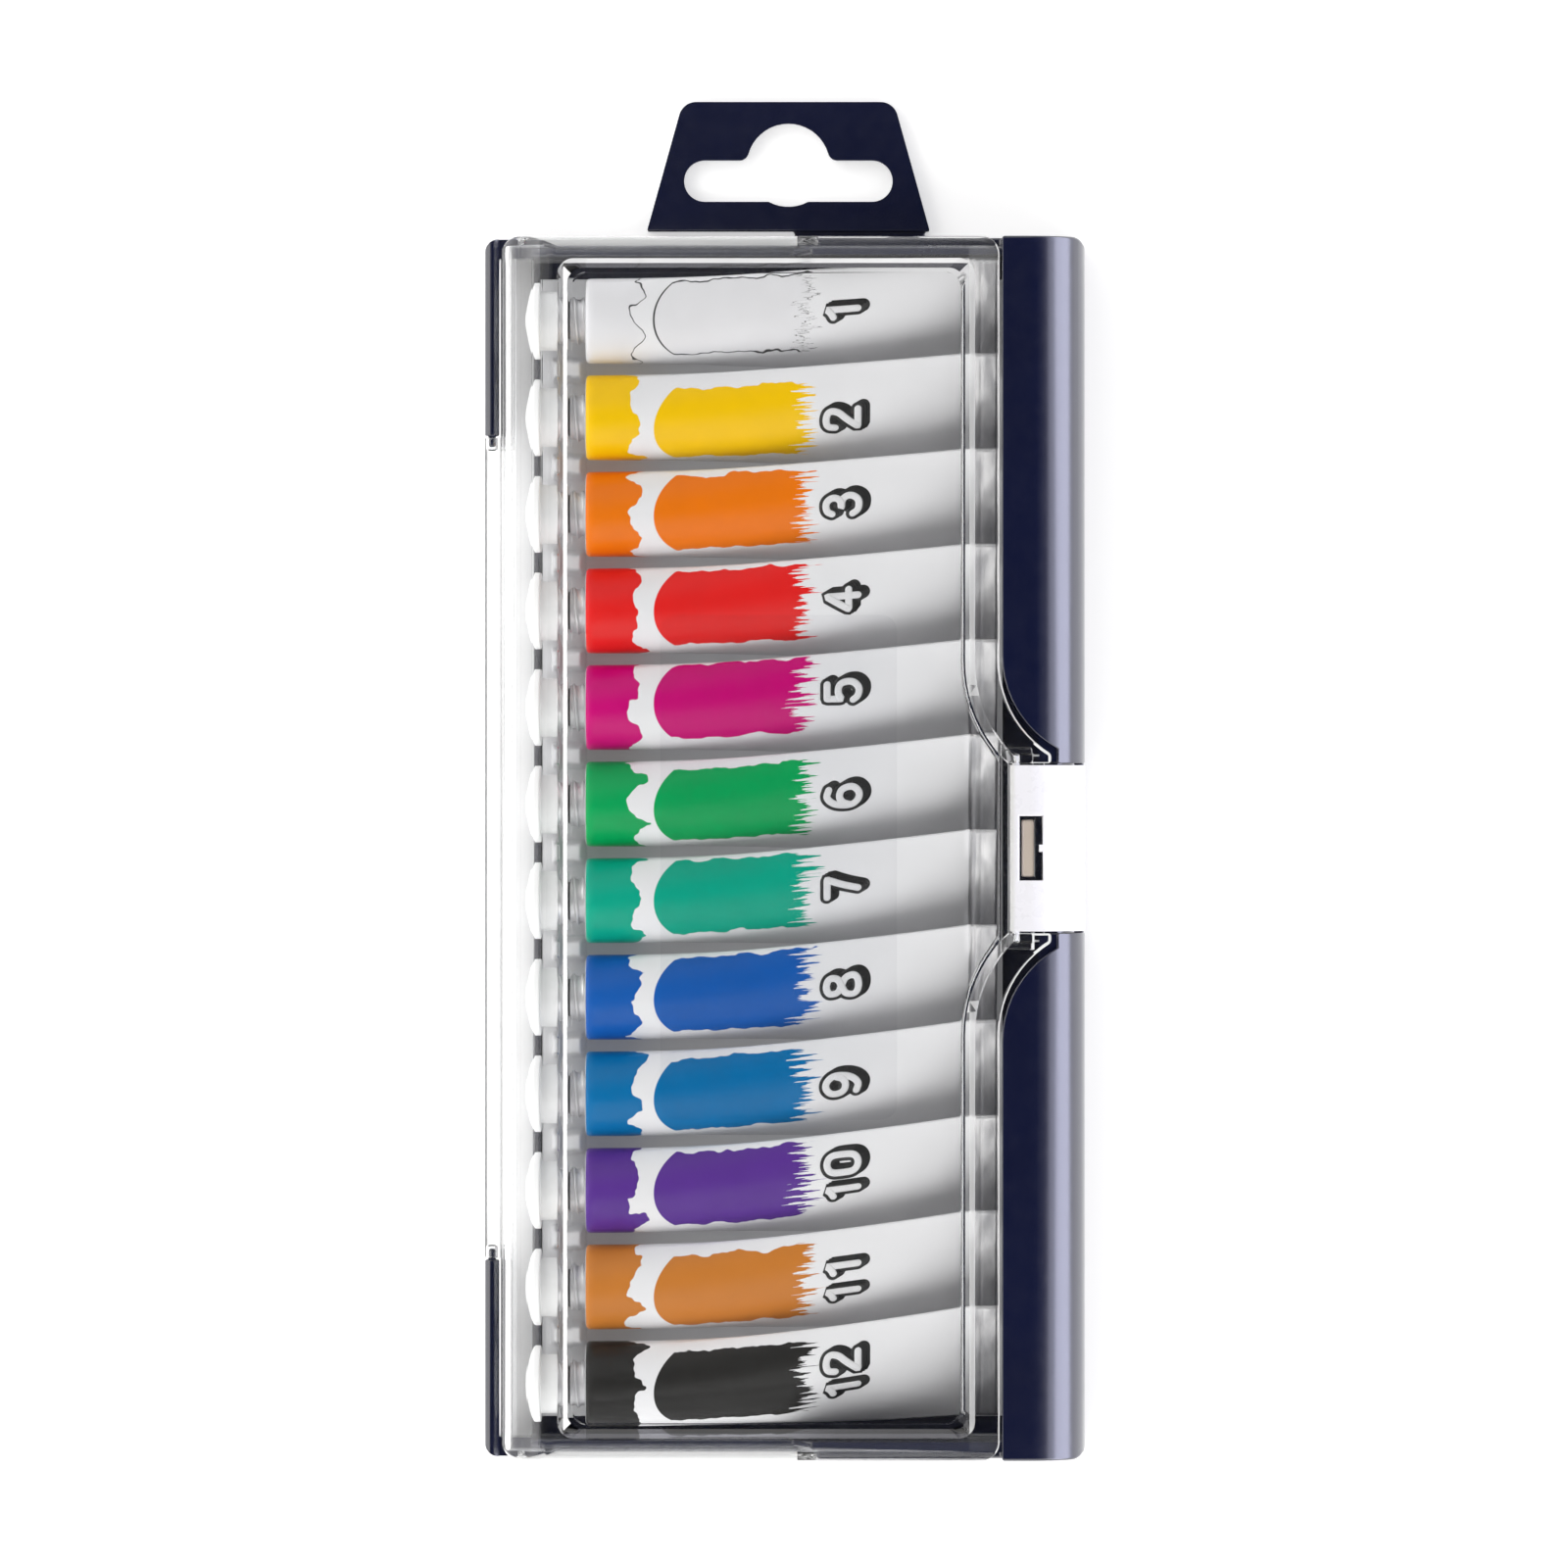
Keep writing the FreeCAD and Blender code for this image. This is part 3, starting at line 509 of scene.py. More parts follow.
class EdgeEaser:
    """Rounds a hard mesh's sharp edges, a chain of edges at a time.

    Edges that run on into each other make a chain, which is rounded by one width throughout. A
    chain starts at the full width, or less where its faces have little room, and loses half of
    its width each time that the rounded mesh crosses itself or stands off the hard one there.
    """

    SHARPEST = math.radians(32)  # bend between two faces above which their edge is rounded
    RUNS_ON = -0.75  # cosine between two edges below which one runs on into the other
    ROOM_SHARE = 0.42  # share of the room beside an edge that its rounding may take
    LEAST = 0.2  # share of the full width below which a chain stays sharp
    ROUNDS = 12  # most times that chains are narrowed
    LEAST_SINE = 0.5  # sine above which a neighbouring edge leads off, not along
    ENDLESS = 1.0  # a length beyond any on the box
    WEIGHT = "bevel_weight_edge"

    def __init__(self, mesh: bpy.types.Mesh, width: float, steps: int) -> None:
        """Find the chains of a mesh's sharp edges and the room beside each.

        Args:
            mesh: The hard mesh. It gets a bevel weight for each edge.
            width: Full width of a rounded edge.
            steps: Flats across a rounded edge.
        """
        self.mesh, self.width, self.steps = mesh, width, steps
        work = bmesh.new()
        work.from_mesh(mesh)
        work.edges.ensure_lookup_table()
        sharp = [edge for edge in work.edges
                 if edge.is_manifold and edge.calc_face_angle() > self.SHARPEST]
        self.edge_numbers = np.array([edge.index for edge in sharp])
        self.ends = np.array([[corner.co[:] for corner in edge.verts] for edge in sharp])
        self.chain = self.chains(work, sharp)
        room = np.array([self.room(edge) for edge in sharp])
        work.free()
        self.room_of = np.full(self.chain.max() + 1, np.inf)
        np.minimum.at(self.room_of, self.chain, room)
        self.share_of = np.minimum(1, self.ROOM_SHARE * self.room_of / width)
        self.share_of[self.share_of < self.LEAST] = 0
        if self.WEIGHT not in mesh.attributes:
            mesh.attributes.new(self.WEIGHT, "FLOAT", "EDGE")

    def chains(self, work: bmesh.types.BMesh, sharp: list[bmesh.types.BMEdge]) -> np.ndarray:
        """Number each sharp edge's chain by joining the edges that run on at each point."""
        number = {edge: place for place, edge in enumerate(sharp)}
        chain = np.arange(len(sharp))
        for point in work.verts:
            here = [edge for edge in point.link_edges if edge in number]
            ways = [(edge.other_vert(point).co - point.co).normalized() for edge in here]
            for first in range(len(here)):
                for second in range(first):
                    if ways[first].dot(ways[second]) < self.RUNS_ON:
                        one, other = chain[number[here[first]]], chain[number[here[second]]]
                        chain[chain == other] = one
        return np.unique(chain, return_inverse=True)[1]

    def room(self, edge: bmesh.types.BMEdge) -> float:
        """Find the room beside an edge.

        Args:
            edge: An edge between two faces.

        Returns:
            The shortest way straight off the edge along a neighbouring edge of its faces, which
            is that edge's length times the sine of the angle between the two.
        """
        shortest = self.ENDLESS
        for corner in edge.link_loops:
            for beside in (corner.link_loop_prev.edge, corner.link_loop_next.edge):
                shared = set(beside.verts) & set(edge.verts)
                if len(shared) == 1:
                    joint = shared.pop()
                    along = edge.other_vert(joint).co - joint.co
                    away = beside.other_vert(joint).co - joint.co
                    sine = along.cross(away).length / max(along.length * away.length, 1e-12)
                    if sine > self.LEAST_SINE:
                        shortest = min(shortest, away.length * sine)
        return shortest

    def rounded(self) -> bpy.types.Mesh:
        """Round the mesh by the chains' present widths."""
        weights = np.zeros(len(self.mesh.edges), np.float32)
        weights[self.edge_numbers] = self.share_of[self.chain]
        self.mesh.attributes[self.WEIGHT].data.foreach_set("value", weights)
        holder = bpy.data.objects.new("easing", self.mesh)
        bpy.context.scene.collection.objects.link(holder)
        modify(holder, "eased_edges", "BEVEL", width=self.width, segments=self.steps,
               limit_method="WEIGHT", use_clamp_overlap=False)
        ready = holder.evaluated_get(bpy.context.evaluated_depsgraph_get())
        mesh = bpy.data.meshes.new_from_object(ready)
        bpy.data.objects.remove(holder)
        return mesh

    @staticmethod
    def triangles(mesh: bpy.types.Mesh) -> tuple[np.ndarray, np.ndarray]:
        """Give a mesh's points, and its triangles as point numbers."""
        mesh.calc_loop_triangles()
        corners = np.zeros(len(mesh.loop_triangles) * 3, np.int32)
        mesh.loop_triangles.foreach_get("vertices", corners)
        points = np.zeros(len(mesh.vertices) * 3, np.float32)
        mesh.vertices.foreach_get("co", points)
        return points.reshape(-1, 3).astype(float), corners.reshape(-1, 3)

    def faults(self, mesh: bpy.types.Mesh, hard: BVHTree) -> np.ndarray:
        """Find where a rounded mesh crosses itself or stands off the hard one.

        Args:
            mesh: The rounded mesh.
            hard: The hard mesh's triangles.

        Returns:
            Middles of crossing triangles that share no point, and points half a width off.
        """
        points, corners = self.triangles(mesh)
        tree = BVHTree.FromPolygons(points.tolist(), corners.tolist())
        found = [pair for pair in tree.overlap(tree) if pair[0] < pair[1]]
        pairs = np.array(found, int).reshape(-1, 2)
        first, second = corners[pairs[:, 0]], corners[pairs[:, 1]]
        joined = (first[:, :, None] == second[:, None, :]).any((1, 2))
        off = np.array([hard.find_nearest(point)[3] for point in points])
        crossing = points[corners[pairs[~joined].ravel()]].mean(1)
        return np.concatenate((crossing, points[off > self.width / 2]))

    def narrow(self, faults: np.ndarray) -> None:
        """Halve the chain at each fault that is widest for its room, or drop it once narrow."""
        start, way = self.ends[:, 0], self.ends[:, 1] - self.ends[:, 0]
        along = np.clip(((faults[:, None] - start) * way).sum(-1) / (way * way).sum(-1), 0, 1)
        gap = np.linalg.norm(faults[:, None] - start - along[..., None] * way, axis=-1)
        share = self.share_of[self.chain]
        gap[:, share == 0] = self.ENDLESS
        near = gap < self.width + gap.min(1, keepdims=True)
        ease_of_room = self.room_of[self.chain] / np.maximum(share, 1e-9)
        losers = np.unique(self.chain[np.where(near, ease_of_room, np.inf).argmin(1)])
        lost = self.share_of[losers]
        self.share_of[losers] = np.where(lost > self.LEAST, lost / 2, 0)

    def eased(self) -> bpy.types.Mesh:
        """Round the mesh, narrowing chains until it has no fault."""
        hard = BVHTree.FromPolygons(*[part.tolist() for part in self.triangles(self.mesh)])
        mesh = self.rounded()
        for _ in range(self.ROUNDS):
            faults = self.faults(mesh, hard)
            if not len(faults):
                break
            self.narrow(faults)
            bpy.data.meshes.remove(mesh)
            mesh = self.rounded()
        LOG.info("%s: %d chains eased, %d faults seen last", self.mesh.name,
                 (self.share_of > 0).sum(), len(faults))
        return mesh


@dataclass(frozen=True)
class Patch:
    """Faces of a moulding that have a finish of their own: those with their middles in a box."""

    finish: Finish
    low: Place
    high: Place
    steep_only: bool = False
    level: float = 0.97

    def holds(self, middles: np.ndarray, normals: np.ndarray) -> np.ndarray:
        """Tell which faces lie in the patch.

        Args:
            middles: Middles of the faces, in millimetres.
            normals: Unit normals of the faces.

        Returns:
            True for each face that lies in the box, and isn't level if only steep ones count.
        """
        inside = ((middles > self.low) & (middles < self.high)).all(1)
        return inside & (np.abs(normals[:, 2]) < self.level) if self.steep_only else inside


def end_pair(top: Finish, foot: Finish, low: Place, high: Place,
             steep_only: bool = False) -> tuple[Patch, Patch]:
    """Patch a box near the hang tab and its mirror image at the lid's other end."""
    return (Patch(top, low, high, steep_only),
            Patch(foot, (low[0], -high[1], low[2]), (high[0], -low[1], high[2]), steep_only))


# Where the lid's faces are parted, as axis and place, and the boxes in millimetres that give the
# faces in them a finish other than plain clear: painted highlights on lit walls and edges, painted
# lighter and dimmer borders, painted shade on dark slopes, a plain underside, and painted warm
# light on the lug.
LID_CUTS = ((0, 2.0 * MM), (0, -35.1 * MM), (0, 29.3 * MM), (1, 92.8 * MM), (1, -92.8 * MM))
LID_PATCHES = (
    Patch(LUG_PAINTED_WARM_LIGHT, (37.5, -4.7, 16.4), (39.7, 4.7, 18.5)),
    *end_pair(LIT_WALL, LIT_WALL, (-44.6, 95.4, 9.0), (2.0, 97.4, 19.0)),
    *end_pair(PAINTED_BRIGHT_BORDER, PAINTED_DIM_BORDER, (-44.0, 93.7, 17.0), (33.0, 95.5, 19.0)),
    *end_pair(PLAIN, PLAIN, (-34.5, 91.3, 16.9), (28.3, 93.0, 18.62), True),
    Patch(PLAIN, (-35.5, -91.3, 16.9), (-33.6, 91.3, 18.62), True),
    *end_pair(SHADED, SHADED, (-35.2, 91.7, 19.15), (29.4, 92.82, 20.2), True),
    *end_pair(SOFT_PAINTED_HIGHLIGHT, PAINTED_DIM_EDGE, (-35.2, 92.78, 18.42), (29.4, 93.9, 19.25), True),
    Patch(LIT_EDGE, (-35.12, -91.7, 19.3), (-34.0, 91.7, 20.2), True),
    Patch(LIT_EDGE, (28.1, -91.7, 19.85), (38.0, 91.7, 20.2), True),
    Patch(SOFT_PAINTED_HIGHLIGHT, (29.28, -93.0, 18.42), (30.6, 93.0, 19.3), True),
    *end_pair(LIT_EDGE, LIT_EDGE, (33.4, 17.3, 18.03), (45.0, 96.0, 18.42), True),
    *end_pair(LIT_EDGE, LIT_EDGE, (39.2, 13.0, 12.0), (45.0, 17.3, 18.42), True))


@dataclass
class Moulding:
    """A moulded piece that keeps its CAD shape, with its edges eased."""

    node: str
    body: Body
    slot: Slot
    finish: Finish
    edge: float = 0.4 * MM
    edge_steps: int = 3
    same_point: float = 0.002 * MM
    same_plane: float = math.radians(0.6)
    still_sharp: float = math.radians(38)
    flat_weight: int = 80
    patches: tuple[Patch, ...] = ()
    cuts: tuple[tuple[int, float], ...] = ()

    def merged(self) -> bpy.types.Mesh:
        """Copy the node's mesh with its loose triangles joined into whole flat faces."""
        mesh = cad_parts[self.node].data.copy()
        work = bmesh.new()
        work.from_mesh(mesh)
        bmesh.ops.remove_doubles(work, verts=work.verts, dist=self.same_point)
        bmesh.ops.dissolve_limit(work, angle_limit=self.same_plane, verts=work.verts,
                                 edges=work.edges, use_dissolve_boundaries=False)
        work.to_mesh(mesh)
        work.free()
        for name in ("custom_normal", "sharp_edge", "sharp_face"):
            if name in mesh.attributes:
                mesh.attributes.remove(mesh.attributes[name])
        mesh.polygons.foreach_set("use_smooth", np.ones(len(mesh.polygons), bool))
        mesh.update()
        return mesh

    def build(self) -> None:
        """Make the piece that stands for the node, with eased edges and flat faces kept flat."""
        mesh = EdgeEaser(self.merged(), self.edge, self.edge_steps).eased()
        mesh.name = self.node + "_moulding"
        self.cut_faces(mesh)
        mesh.set_sharp_from_angle(angle=self.still_sharp)
        piece = add_piece(mesh, self.body.value, self.slot.value, self.node,
                          self.finish.material())
        modify(piece, "flat_faces", "WEIGHTED_NORMAL", weight=self.flat_weight, keep_sharp=True)
        self.mark_patches(mesh)

    def cut_faces(self, mesh: bpy.types.Mesh) -> None:
        """Part the faces that cross each cut, an axis and a place on it, where patches end."""
        work = bmesh.new()
        work.from_mesh(mesh)
        for axis, place in self.cuts:
            square = np.eye(3)[axis]
            bmesh.ops.bisect_plane(work, geom=[*work.verts, *work.edges, *work.faces],
                                   plane_co=square * place, plane_no=square)
        work.to_mesh(mesh)
        work.free()

    def mark_patches(self, mesh: bpy.types.Mesh) -> None:
        """Give the faces in each patch that patch's finish, the last one where two overlap."""
        middles, normals = np.zeros((2, len(mesh.polygons) * 3), np.float32)
        mesh.polygons.foreach_get("center", middles)
        mesh.polygons.foreach_get("normal", normals)
        kinds = np.zeros(len(mesh.polygons), np.int32)
        made: dict[str, int] = {}
        for patch in self.patches:
            if patch.finish.name not in made:
                mesh.materials.append(patch.finish.material())
                made[patch.finish.name] = len(mesh.materials) - 1
            held = patch.holds(middles.reshape(-1, 3) / MM, normals.reshape(-1, 3))
            kinds[held] = made[patch.finish.name]
        mesh.polygons.foreach_set("material_index", kinds)


# ---------------------------------------------------------------------------- tubes


@dataclass(frozen=True)
class Paint:
    """One colour of paint: its CAD number, its colour, and how far its tube lies rolled."""

    number: int
    colour: Colour
    roll: float = 0.0

    @property
    def tag(self) -> str:
        """The two digits in this tube's node names."""
        return f"{self.number:02d}"


@dataclass
class TubeSizes:
    """Sizes of a soft metal tube that lies along X, from the CAD model."""

    row_middle: float = -0.7 * MM
    pitch: float = 15.4 * MM
    count: int = 12
    axis_z: float = 9.25 * MM
    radius: float = 6.75 * MM
    wall: float = 0.35 * MM
    least_height: float = 0.1 * MM
    spout_x: float = -39.2 * MM
    spout_radius: float = 3.0 * MM
    collar_x: float = -34.2 * MM
    collar_radius: float = 3.45 * MM
    cone_x: float = -31.8 * MM
    shoulder_x: float = -31.1 * MM
    shoulder_round: float = 0.75 * MM
    dome_set: float = 0.2
    collar_step: float = 0.01 * MM
    thread_pitch: float = 1.5 * MM
    thread_height: float = 0.42 * MM
    thread_width: float = 0.17
    thread_fade: float = 0.3 * MM
    taper: float = 60.4 * MM
    pucker: float = 0.16 * MM
    pucker_span: tuple[float, ...] = (0.35, 0.8, 0.9, 1.0)
    crimp: float = 4.6 * MM
    crimp_half_thick: float = 0.5 * MM
    crimp_ripple: float = 0.06 * MM
    crimp_thins_by: float = 0.12
    crimp_lip: float = 0.18
    pressed_line: float = 0.07 * MM
    pressed_span: tuple[float, ...] = (0.35, 0.4, 0.45, 0.5)
    round_from: float = 0.93
    round_run: float = 0.07
    round_share: float = 0.96
    fold_x: float = 30.1 * MM
    fold_step: float = 0.3 * MM
    fold_rise: float = 0.25 * MM
    first_tail_shift: float = 0.8 * MM
    last_tail_shift: float = 3.6 * MM
    tail_drop: float = 0.838 * MM
    tilt: float = math.radians(31)
    label_turn: float = math.radians(76)
    columns: int = 96
    collar_rows: int = 15
    dome_rows: int = 6
    printed_dome_rows: int = 4
    body_rows: int = 64
    crimp_rows: int = 22
    fill_columns: int = 32
    fill_rows: int = 24
    fill_span: tuple[float, float] = (0.02, 0.93)

    def axis_y(self, number: int) -> float:
        """Y of a tube's axis, by its number from the hang tab."""
        return self.row_middle + self.pitch * ((self.count + 1) / 2 - number)

    def tail_shift(self, number: int) -> float:
        """How far a tube's tail leans towards the hang tab, more for each tube of the row."""
        share = (number - 1) / (self.count - 1)
        return self.first_tail_shift + (self.last_tail_shift - self.first_tail_shift) * share


@dataclass
class PaintTube:
    """A collapsible tube: threaded neck, shoulder, printed skin that flattens, folded crimp."""

    paint: Paint
    sizes: TubeSizes = field(default_factory=TubeSizes)
    flat_at: tuple[float, ...] = (0.0, 0.15, 0.3, 0.48, 0.65, 0.8, 0.92, 1.0)
    height_left: tuple[float, ...] = (1.0, 0.92, 0.82, 0.69, 0.54, 0.37, 0.2, 0.075)
    print_step: float = 3.7

    def left_at(self, share: np.ndarray) -> np.ndarray:
        """Give the share of the round height that is left, by a smooth curve through its steps.

        Args:
            share: Shares of the way from shoulder to crimp.

        Returns:
            A cubic through the steps whose slope at each is the mean of its neighbours' slopes.
        """
        x, y = np.array(self.flat_at), np.array(self.height_left)
        slope = np.gradient(y, x)
        slope[0] = 0
        index = np.clip(np.searchsorted(x, share, side="right") - 1, 0, len(x) - 2)
        width = x[index + 1] - x[index]
        t = np.clip((share - x[index]) / width, 0, 1)
        rise = (2 * t**3 - 3 * t**2 + 1) * y[index] + (3 * t**2 - 2 * t**3) * y[index + 1]
        lean = (t**3 - 2 * t**2 + t) * slope[index] + (t**3 - t**2) * slope[index + 1]
        return rise + width * lean

    def skin(self, share: np.ndarray, angle: np.ndarray, inset: float = 0.0) -> np.ndarray:
        """Work out points of the skin between shoulder and crimp.

        A ring's point is the round tube's point carried across towards its place on the flat
        tail, evenly along the tube; on the tail it lies as far from the middle as it lay round
        the tube. The ring leans by the tilt and sinks with the square of the share.

        Args:
            share: Shares of the way from shoulder to crimp.
            angle: Angles round the ring, from its upper edge, with the face at a quarter turn.
            inset: How far inside the skin the points lie.

        Returns:
            Points in metres, shaped like the arguments with three more.
        """
        size = self.sizes
        flat = np.clip(share, 0, 1)
        turn = np.mod(angle, 2 * np.pi)
        half_turn = np.where(turn <= np.pi, turn, 2 * np.pi - turn)
        across = (size.radius - inset) * (
            (1 - flat) * np.cos(turn) + flat * (np.pi / 2 - half_turn))
        height = np.maximum(self.left_at(flat) * size.radius - inset, size.least_height)
        up = height * np.sin(turn) + (self.pucker(share, turn) if not inset else 0)
        return self.placed(size.shoulder_x + size.taper * share, across, up, share)

    def pucker(self, share: np.ndarray, turn: np.ndarray) -> np.ndarray:
        """Give small dents of the pinched skin: waves across the tail, none at round or crimp."""
        number = self.paint.number
        wave = np.sin(3 * turn + 9 * share + number) * np.sin(7 * share + number * 2.3)
        grow = hump(*self.sizes.pucker_span, share)
        return self.sizes.pucker * grow * wave * np.sin(turn)

    def placed(self, x: np.ndarray, across: np.ndarray, up: np.ndarray,
               share: np.ndarray) -> np.ndarray:
        """Lean a ring by the tilt, sink it towards the tail and set it on the tube's axis."""
        size = self.sizes
        cos, sin = math.cos(size.tilt), math.sin(size.tilt)
        sink = np.clip(share, 0, 1) ** 2
        lean = size.tail_shift(self.paint.number) * sink
        y = size.axis_y(self.paint.number) + lean + across * cos - up * sin
        z = size.axis_z - size.tail_drop * sink + across * sin + up * cos
        return np.stack(np.broadcast_arrays(x, y, z), -1)

    def neck(self, angle: np.ndarray) -> np.ndarray:
        """Work out the spout, the threaded collar and the domed shoulder.

        Args:
            angle: Angles round the tube, one row.

        Returns:
            Rings from the spout's mouth to the shoulder. The thread is a ridge shaped like a bell
            that climbs one pitch each turn and dies away at the collar's ends.
        """
        size = self.sizes
        collar = np.linspace(size.collar_x, size.cone_x, size.collar_rows)
        quarter = np.linspace(0, np.pi / 2, size.dome_rows + 1)[:-1]
        dome_radius = size.radius - size.shoulder_round
        dome_x = size.shoulder_x + size.shoulder_round * (size.dome_set - np.cos(quarter))
        x = np.concatenate(([size.spout_x, size.collar_x - size.collar_step], collar, dome_x))
        flat = np.concatenate(([size.spout_radius] * 2,
                               np.full(size.collar_rows, size.collar_radius),
                               dome_radius + size.shoulder_round * np.sin(quarter)))
        x, flat = x[:, None], flat[:, None]
        turns = (x - size.collar_x) / size.thread_pitch - angle / (2 * np.pi)
        ridge = np.exp(-((np.mod(turns, 1) - 0.5) / size.thread_width) ** 2)
        inside = hump(size.collar_x, size.collar_x + size.thread_fade,
                      size.cone_x - size.thread_fade, size.cone_x, x)
        radius = flat + size.thread_height * inside * ridge
        return self.placed(x, radius * np.cos(angle), radius * np.sin(angle), np.zeros_like(x))

    def tail(self, angle: np.ndarray) -> np.ndarray:
        """Work out the folded crimp: the flat skin, a step up onto the fold, a pressed line.

        Args:
            angle: Angles round the ring, one row.

        Returns:
            Rings from the end of the taper to the tube's rounded end.
        """
        size, number = self.sizes, self.paint.number
        run = np.linspace(0, 1, size.crimp_rows + 1)[1:, None]
        x = size.shoulder_x + size.taper + size.crimp * run
        half = size.radius * np.pi / 2
        first = size.radius * self.height_left[-1]
        pressed = size.crimp_half_thick - size.fold_step
        thin = first + (pressed - first) * ease(0, size.crimp_thins_by, run)
        thick = thin + size.fold_step * ease(size.fold_x, size.fold_x + size.fold_rise, x)
        thick = thick - size.pressed_line * hump(*size.pressed_span, run)
        rounding = ((run - size.round_from) / size.round_run).clip(0, size.round_share)
        end_round = np.sqrt(1 - rounding**2)
        flat = 1 - 2 * np.mod(angle, np.pi) / np.pi
        across = half * np.where(np.mod(angle, 2 * np.pi) < np.pi, flat, -flat)
        height = np.sin(angle)
        lip = np.sign(height) * np.abs(height) ** size.crimp_lip
        wave = np.sin(across / half * 9 + number) * np.sin(run * 5 + number)
        up = thick * end_round * lip + size.crimp_ripple * wave
        return self.placed(x, across, up, np.ones_like(x))

    @staticmethod
    def ring_angles(columns: int, count: int) -> np.ndarray:
        """Give one row of so many angles round a ring of columns, starting under the tube."""
        return (-np.pi / 2 + np.arange(count) / columns * 2 * np.pi)[None, :]

    def mark_label(self, mesh: bpy.types.Mesh, surface: Surface) -> None:
        """Write each corner's place on the label, in mm, as a UV map; end faces get zero.

        A column past the last one holds the places of the first a turn on, so that the label
        has no jump where the grid wraps.

        Args:
            mesh: The tube's mesh.
            surface: The grid that it comes from.
        """
        size, points = self.sizes, surface.points
        turn = self.ring_angles(size.columns, size.columns + 1)
        around = ((size.label_turn - turn) * size.radius - self.paint.roll) / MM
        along = np.concatenate((points[..., 0], points[:, :1, 0]), 1) / MM
        labels = np.stack((along, np.broadcast_to(around, along.shape)), -1)
        marks = labels[surface.corners()].reshape(-1, 2)
        places = np.zeros((len(mesh.loops), 2), np.float32)
        places[:len(marks)] = marks
        mesh.uv_layers.new(name="label").data.foreach_set("uv", places.ravel())

    def build(self) -> None:
        """Make the tube's printed skin with its bare neck and crimp, and the paint inside."""
        size, number, tag = self.sizes, self.paint.number, self.paint.tag
        angle = self.ring_angles(size.columns, size.columns)
        neck, tail = self.neck(angle), self.tail(angle)
        skin = self.skin(np.linspace(0, 1, size.body_rows)[:, None], angle)
        surface = Surface(np.concatenate((neck, skin, tail)))
        mesh = surface.mesh(f"tube_{tag}_skin")
        self.mark_label(mesh, surface)
        lacquer = PrintedLacquer(f"lacquer_{tag}", self.paint.colour, self.print_step * number,
                                 outlined=number == 1)
        add_piece(mesh, Body.BASE.value, f"tube_{tag}", f"tube_{tag}", lacquer.material(),
                  BareAluminium(f"aluminium_{tag}").material())
        bare = np.ones((len(surface.points) - 1, size.columns), np.int32)
        bare[len(neck) - size.printed_dome_rows:len(neck) + len(skin) - 1] = 0
        kinds = np.append(bare, (1, 1)).astype(np.int32)
        mesh.polygons.foreach_set("material_index", kinds)
        self.build_filling()

    def build_filling(self) -> None:
        """Make the paint that fills the tube, a wall's thickness inside the skin."""
        size, tag = self.sizes, self.paint.tag
        angle = self.ring_angles(size.fill_columns, size.fill_columns)
        share = np.linspace(*size.fill_span, size.fill_rows)[:, None]
        mesh = Surface(self.skin(share, angle, size.wall)).mesh(f"paint_{tag}_fill")
        add_piece(mesh, Body.BASE.value, f"paint_{tag}", f"paint_{tag}",
                  PaintPaste(f"paste_{tag}", self.paint.colour).material())


@dataclass(frozen=True)
class Stroke:
    """One pen stroke of a figure, as corners across and up in shares of the figure's height."""

    corners: tuple[tuple[float, float], ...]
    closed: bool = False
    end_share: float = 0.97

    def line(self, rounds: int = 3) -> np.ndarray:
        """Round the corners off.

        Args:
            rounds: How often each run is cut a quarter from both of its ends.

        Returns:
            Points across and up. An open stroke keeps its two ends.
        """
        line = np.array(self.corners, float)
        for _ in range(rounds):
            after = np.roll(line, -1, 0) if self.closed else line[1:]
            before = line if self.closed else line[:-1]
            cut = np.stack((0.75 * before + 0.25 * after, 0.25 * before + 0.75 * after), 1)
            cut = cut.reshape(-1, 2)
            line = cut if self.closed else np.concatenate((line[:1], cut, line[-1:]))
        steps = np.linalg.norm(np.diff(line, axis=0), axis=1)
        return line[np.concatenate(([True], steps > 1e-6))]

    def ribbon(self, half: float, across: int = 5, end_rows: int = 6) -> np.ndarray:
        """Draw the stroke with a round-ended pen.

        Args:
            half: Half the pen's width, as a share of the figure's height.
            across: Points across the ribbon.
            end_rows: Rows in each round end.

        Returns:
            A grid along and across the ribbon. An end is a half circle: it runs on past the line
            by the pen's half width times a sine, while the ribbon narrows by the cosine.
        """
        line = self.line()
        if self.closed:
            way = np.roll(line, -1, 0) - np.roll(line, 1, 0)
            line, way = (np.concatenate((part, part[:1])) for part in (line, way))
        else:
            way = np.gradient(line, axis=0)
        way = way / np.linalg.norm(way, axis=1, keepdims=True)
        width = np.ones(len(line))
        if not self.closed:
            swing = np.linspace(0, np.pi / 2, end_rows + 1)[1:] * self.end_share
            run = half * np.sin(swing)[:, None]
            line = np.concatenate((line[:1] - run[::-1] * way[:1], line,
                                   line[-1:] + run * way[-1:]))
            width = np.concatenate((np.cos(swing)[::-1], width, np.cos(swing)))
            way = np.pad(way, ((end_rows, end_rows), (0, 0)), "edge")
        side = np.stack((-way[:, 1], way[:, 0]), 1)
        step = np.linspace(-half, half, across)[None, :, None]
        return line[:, None] + side[:, None] * step * width[:, None, None]


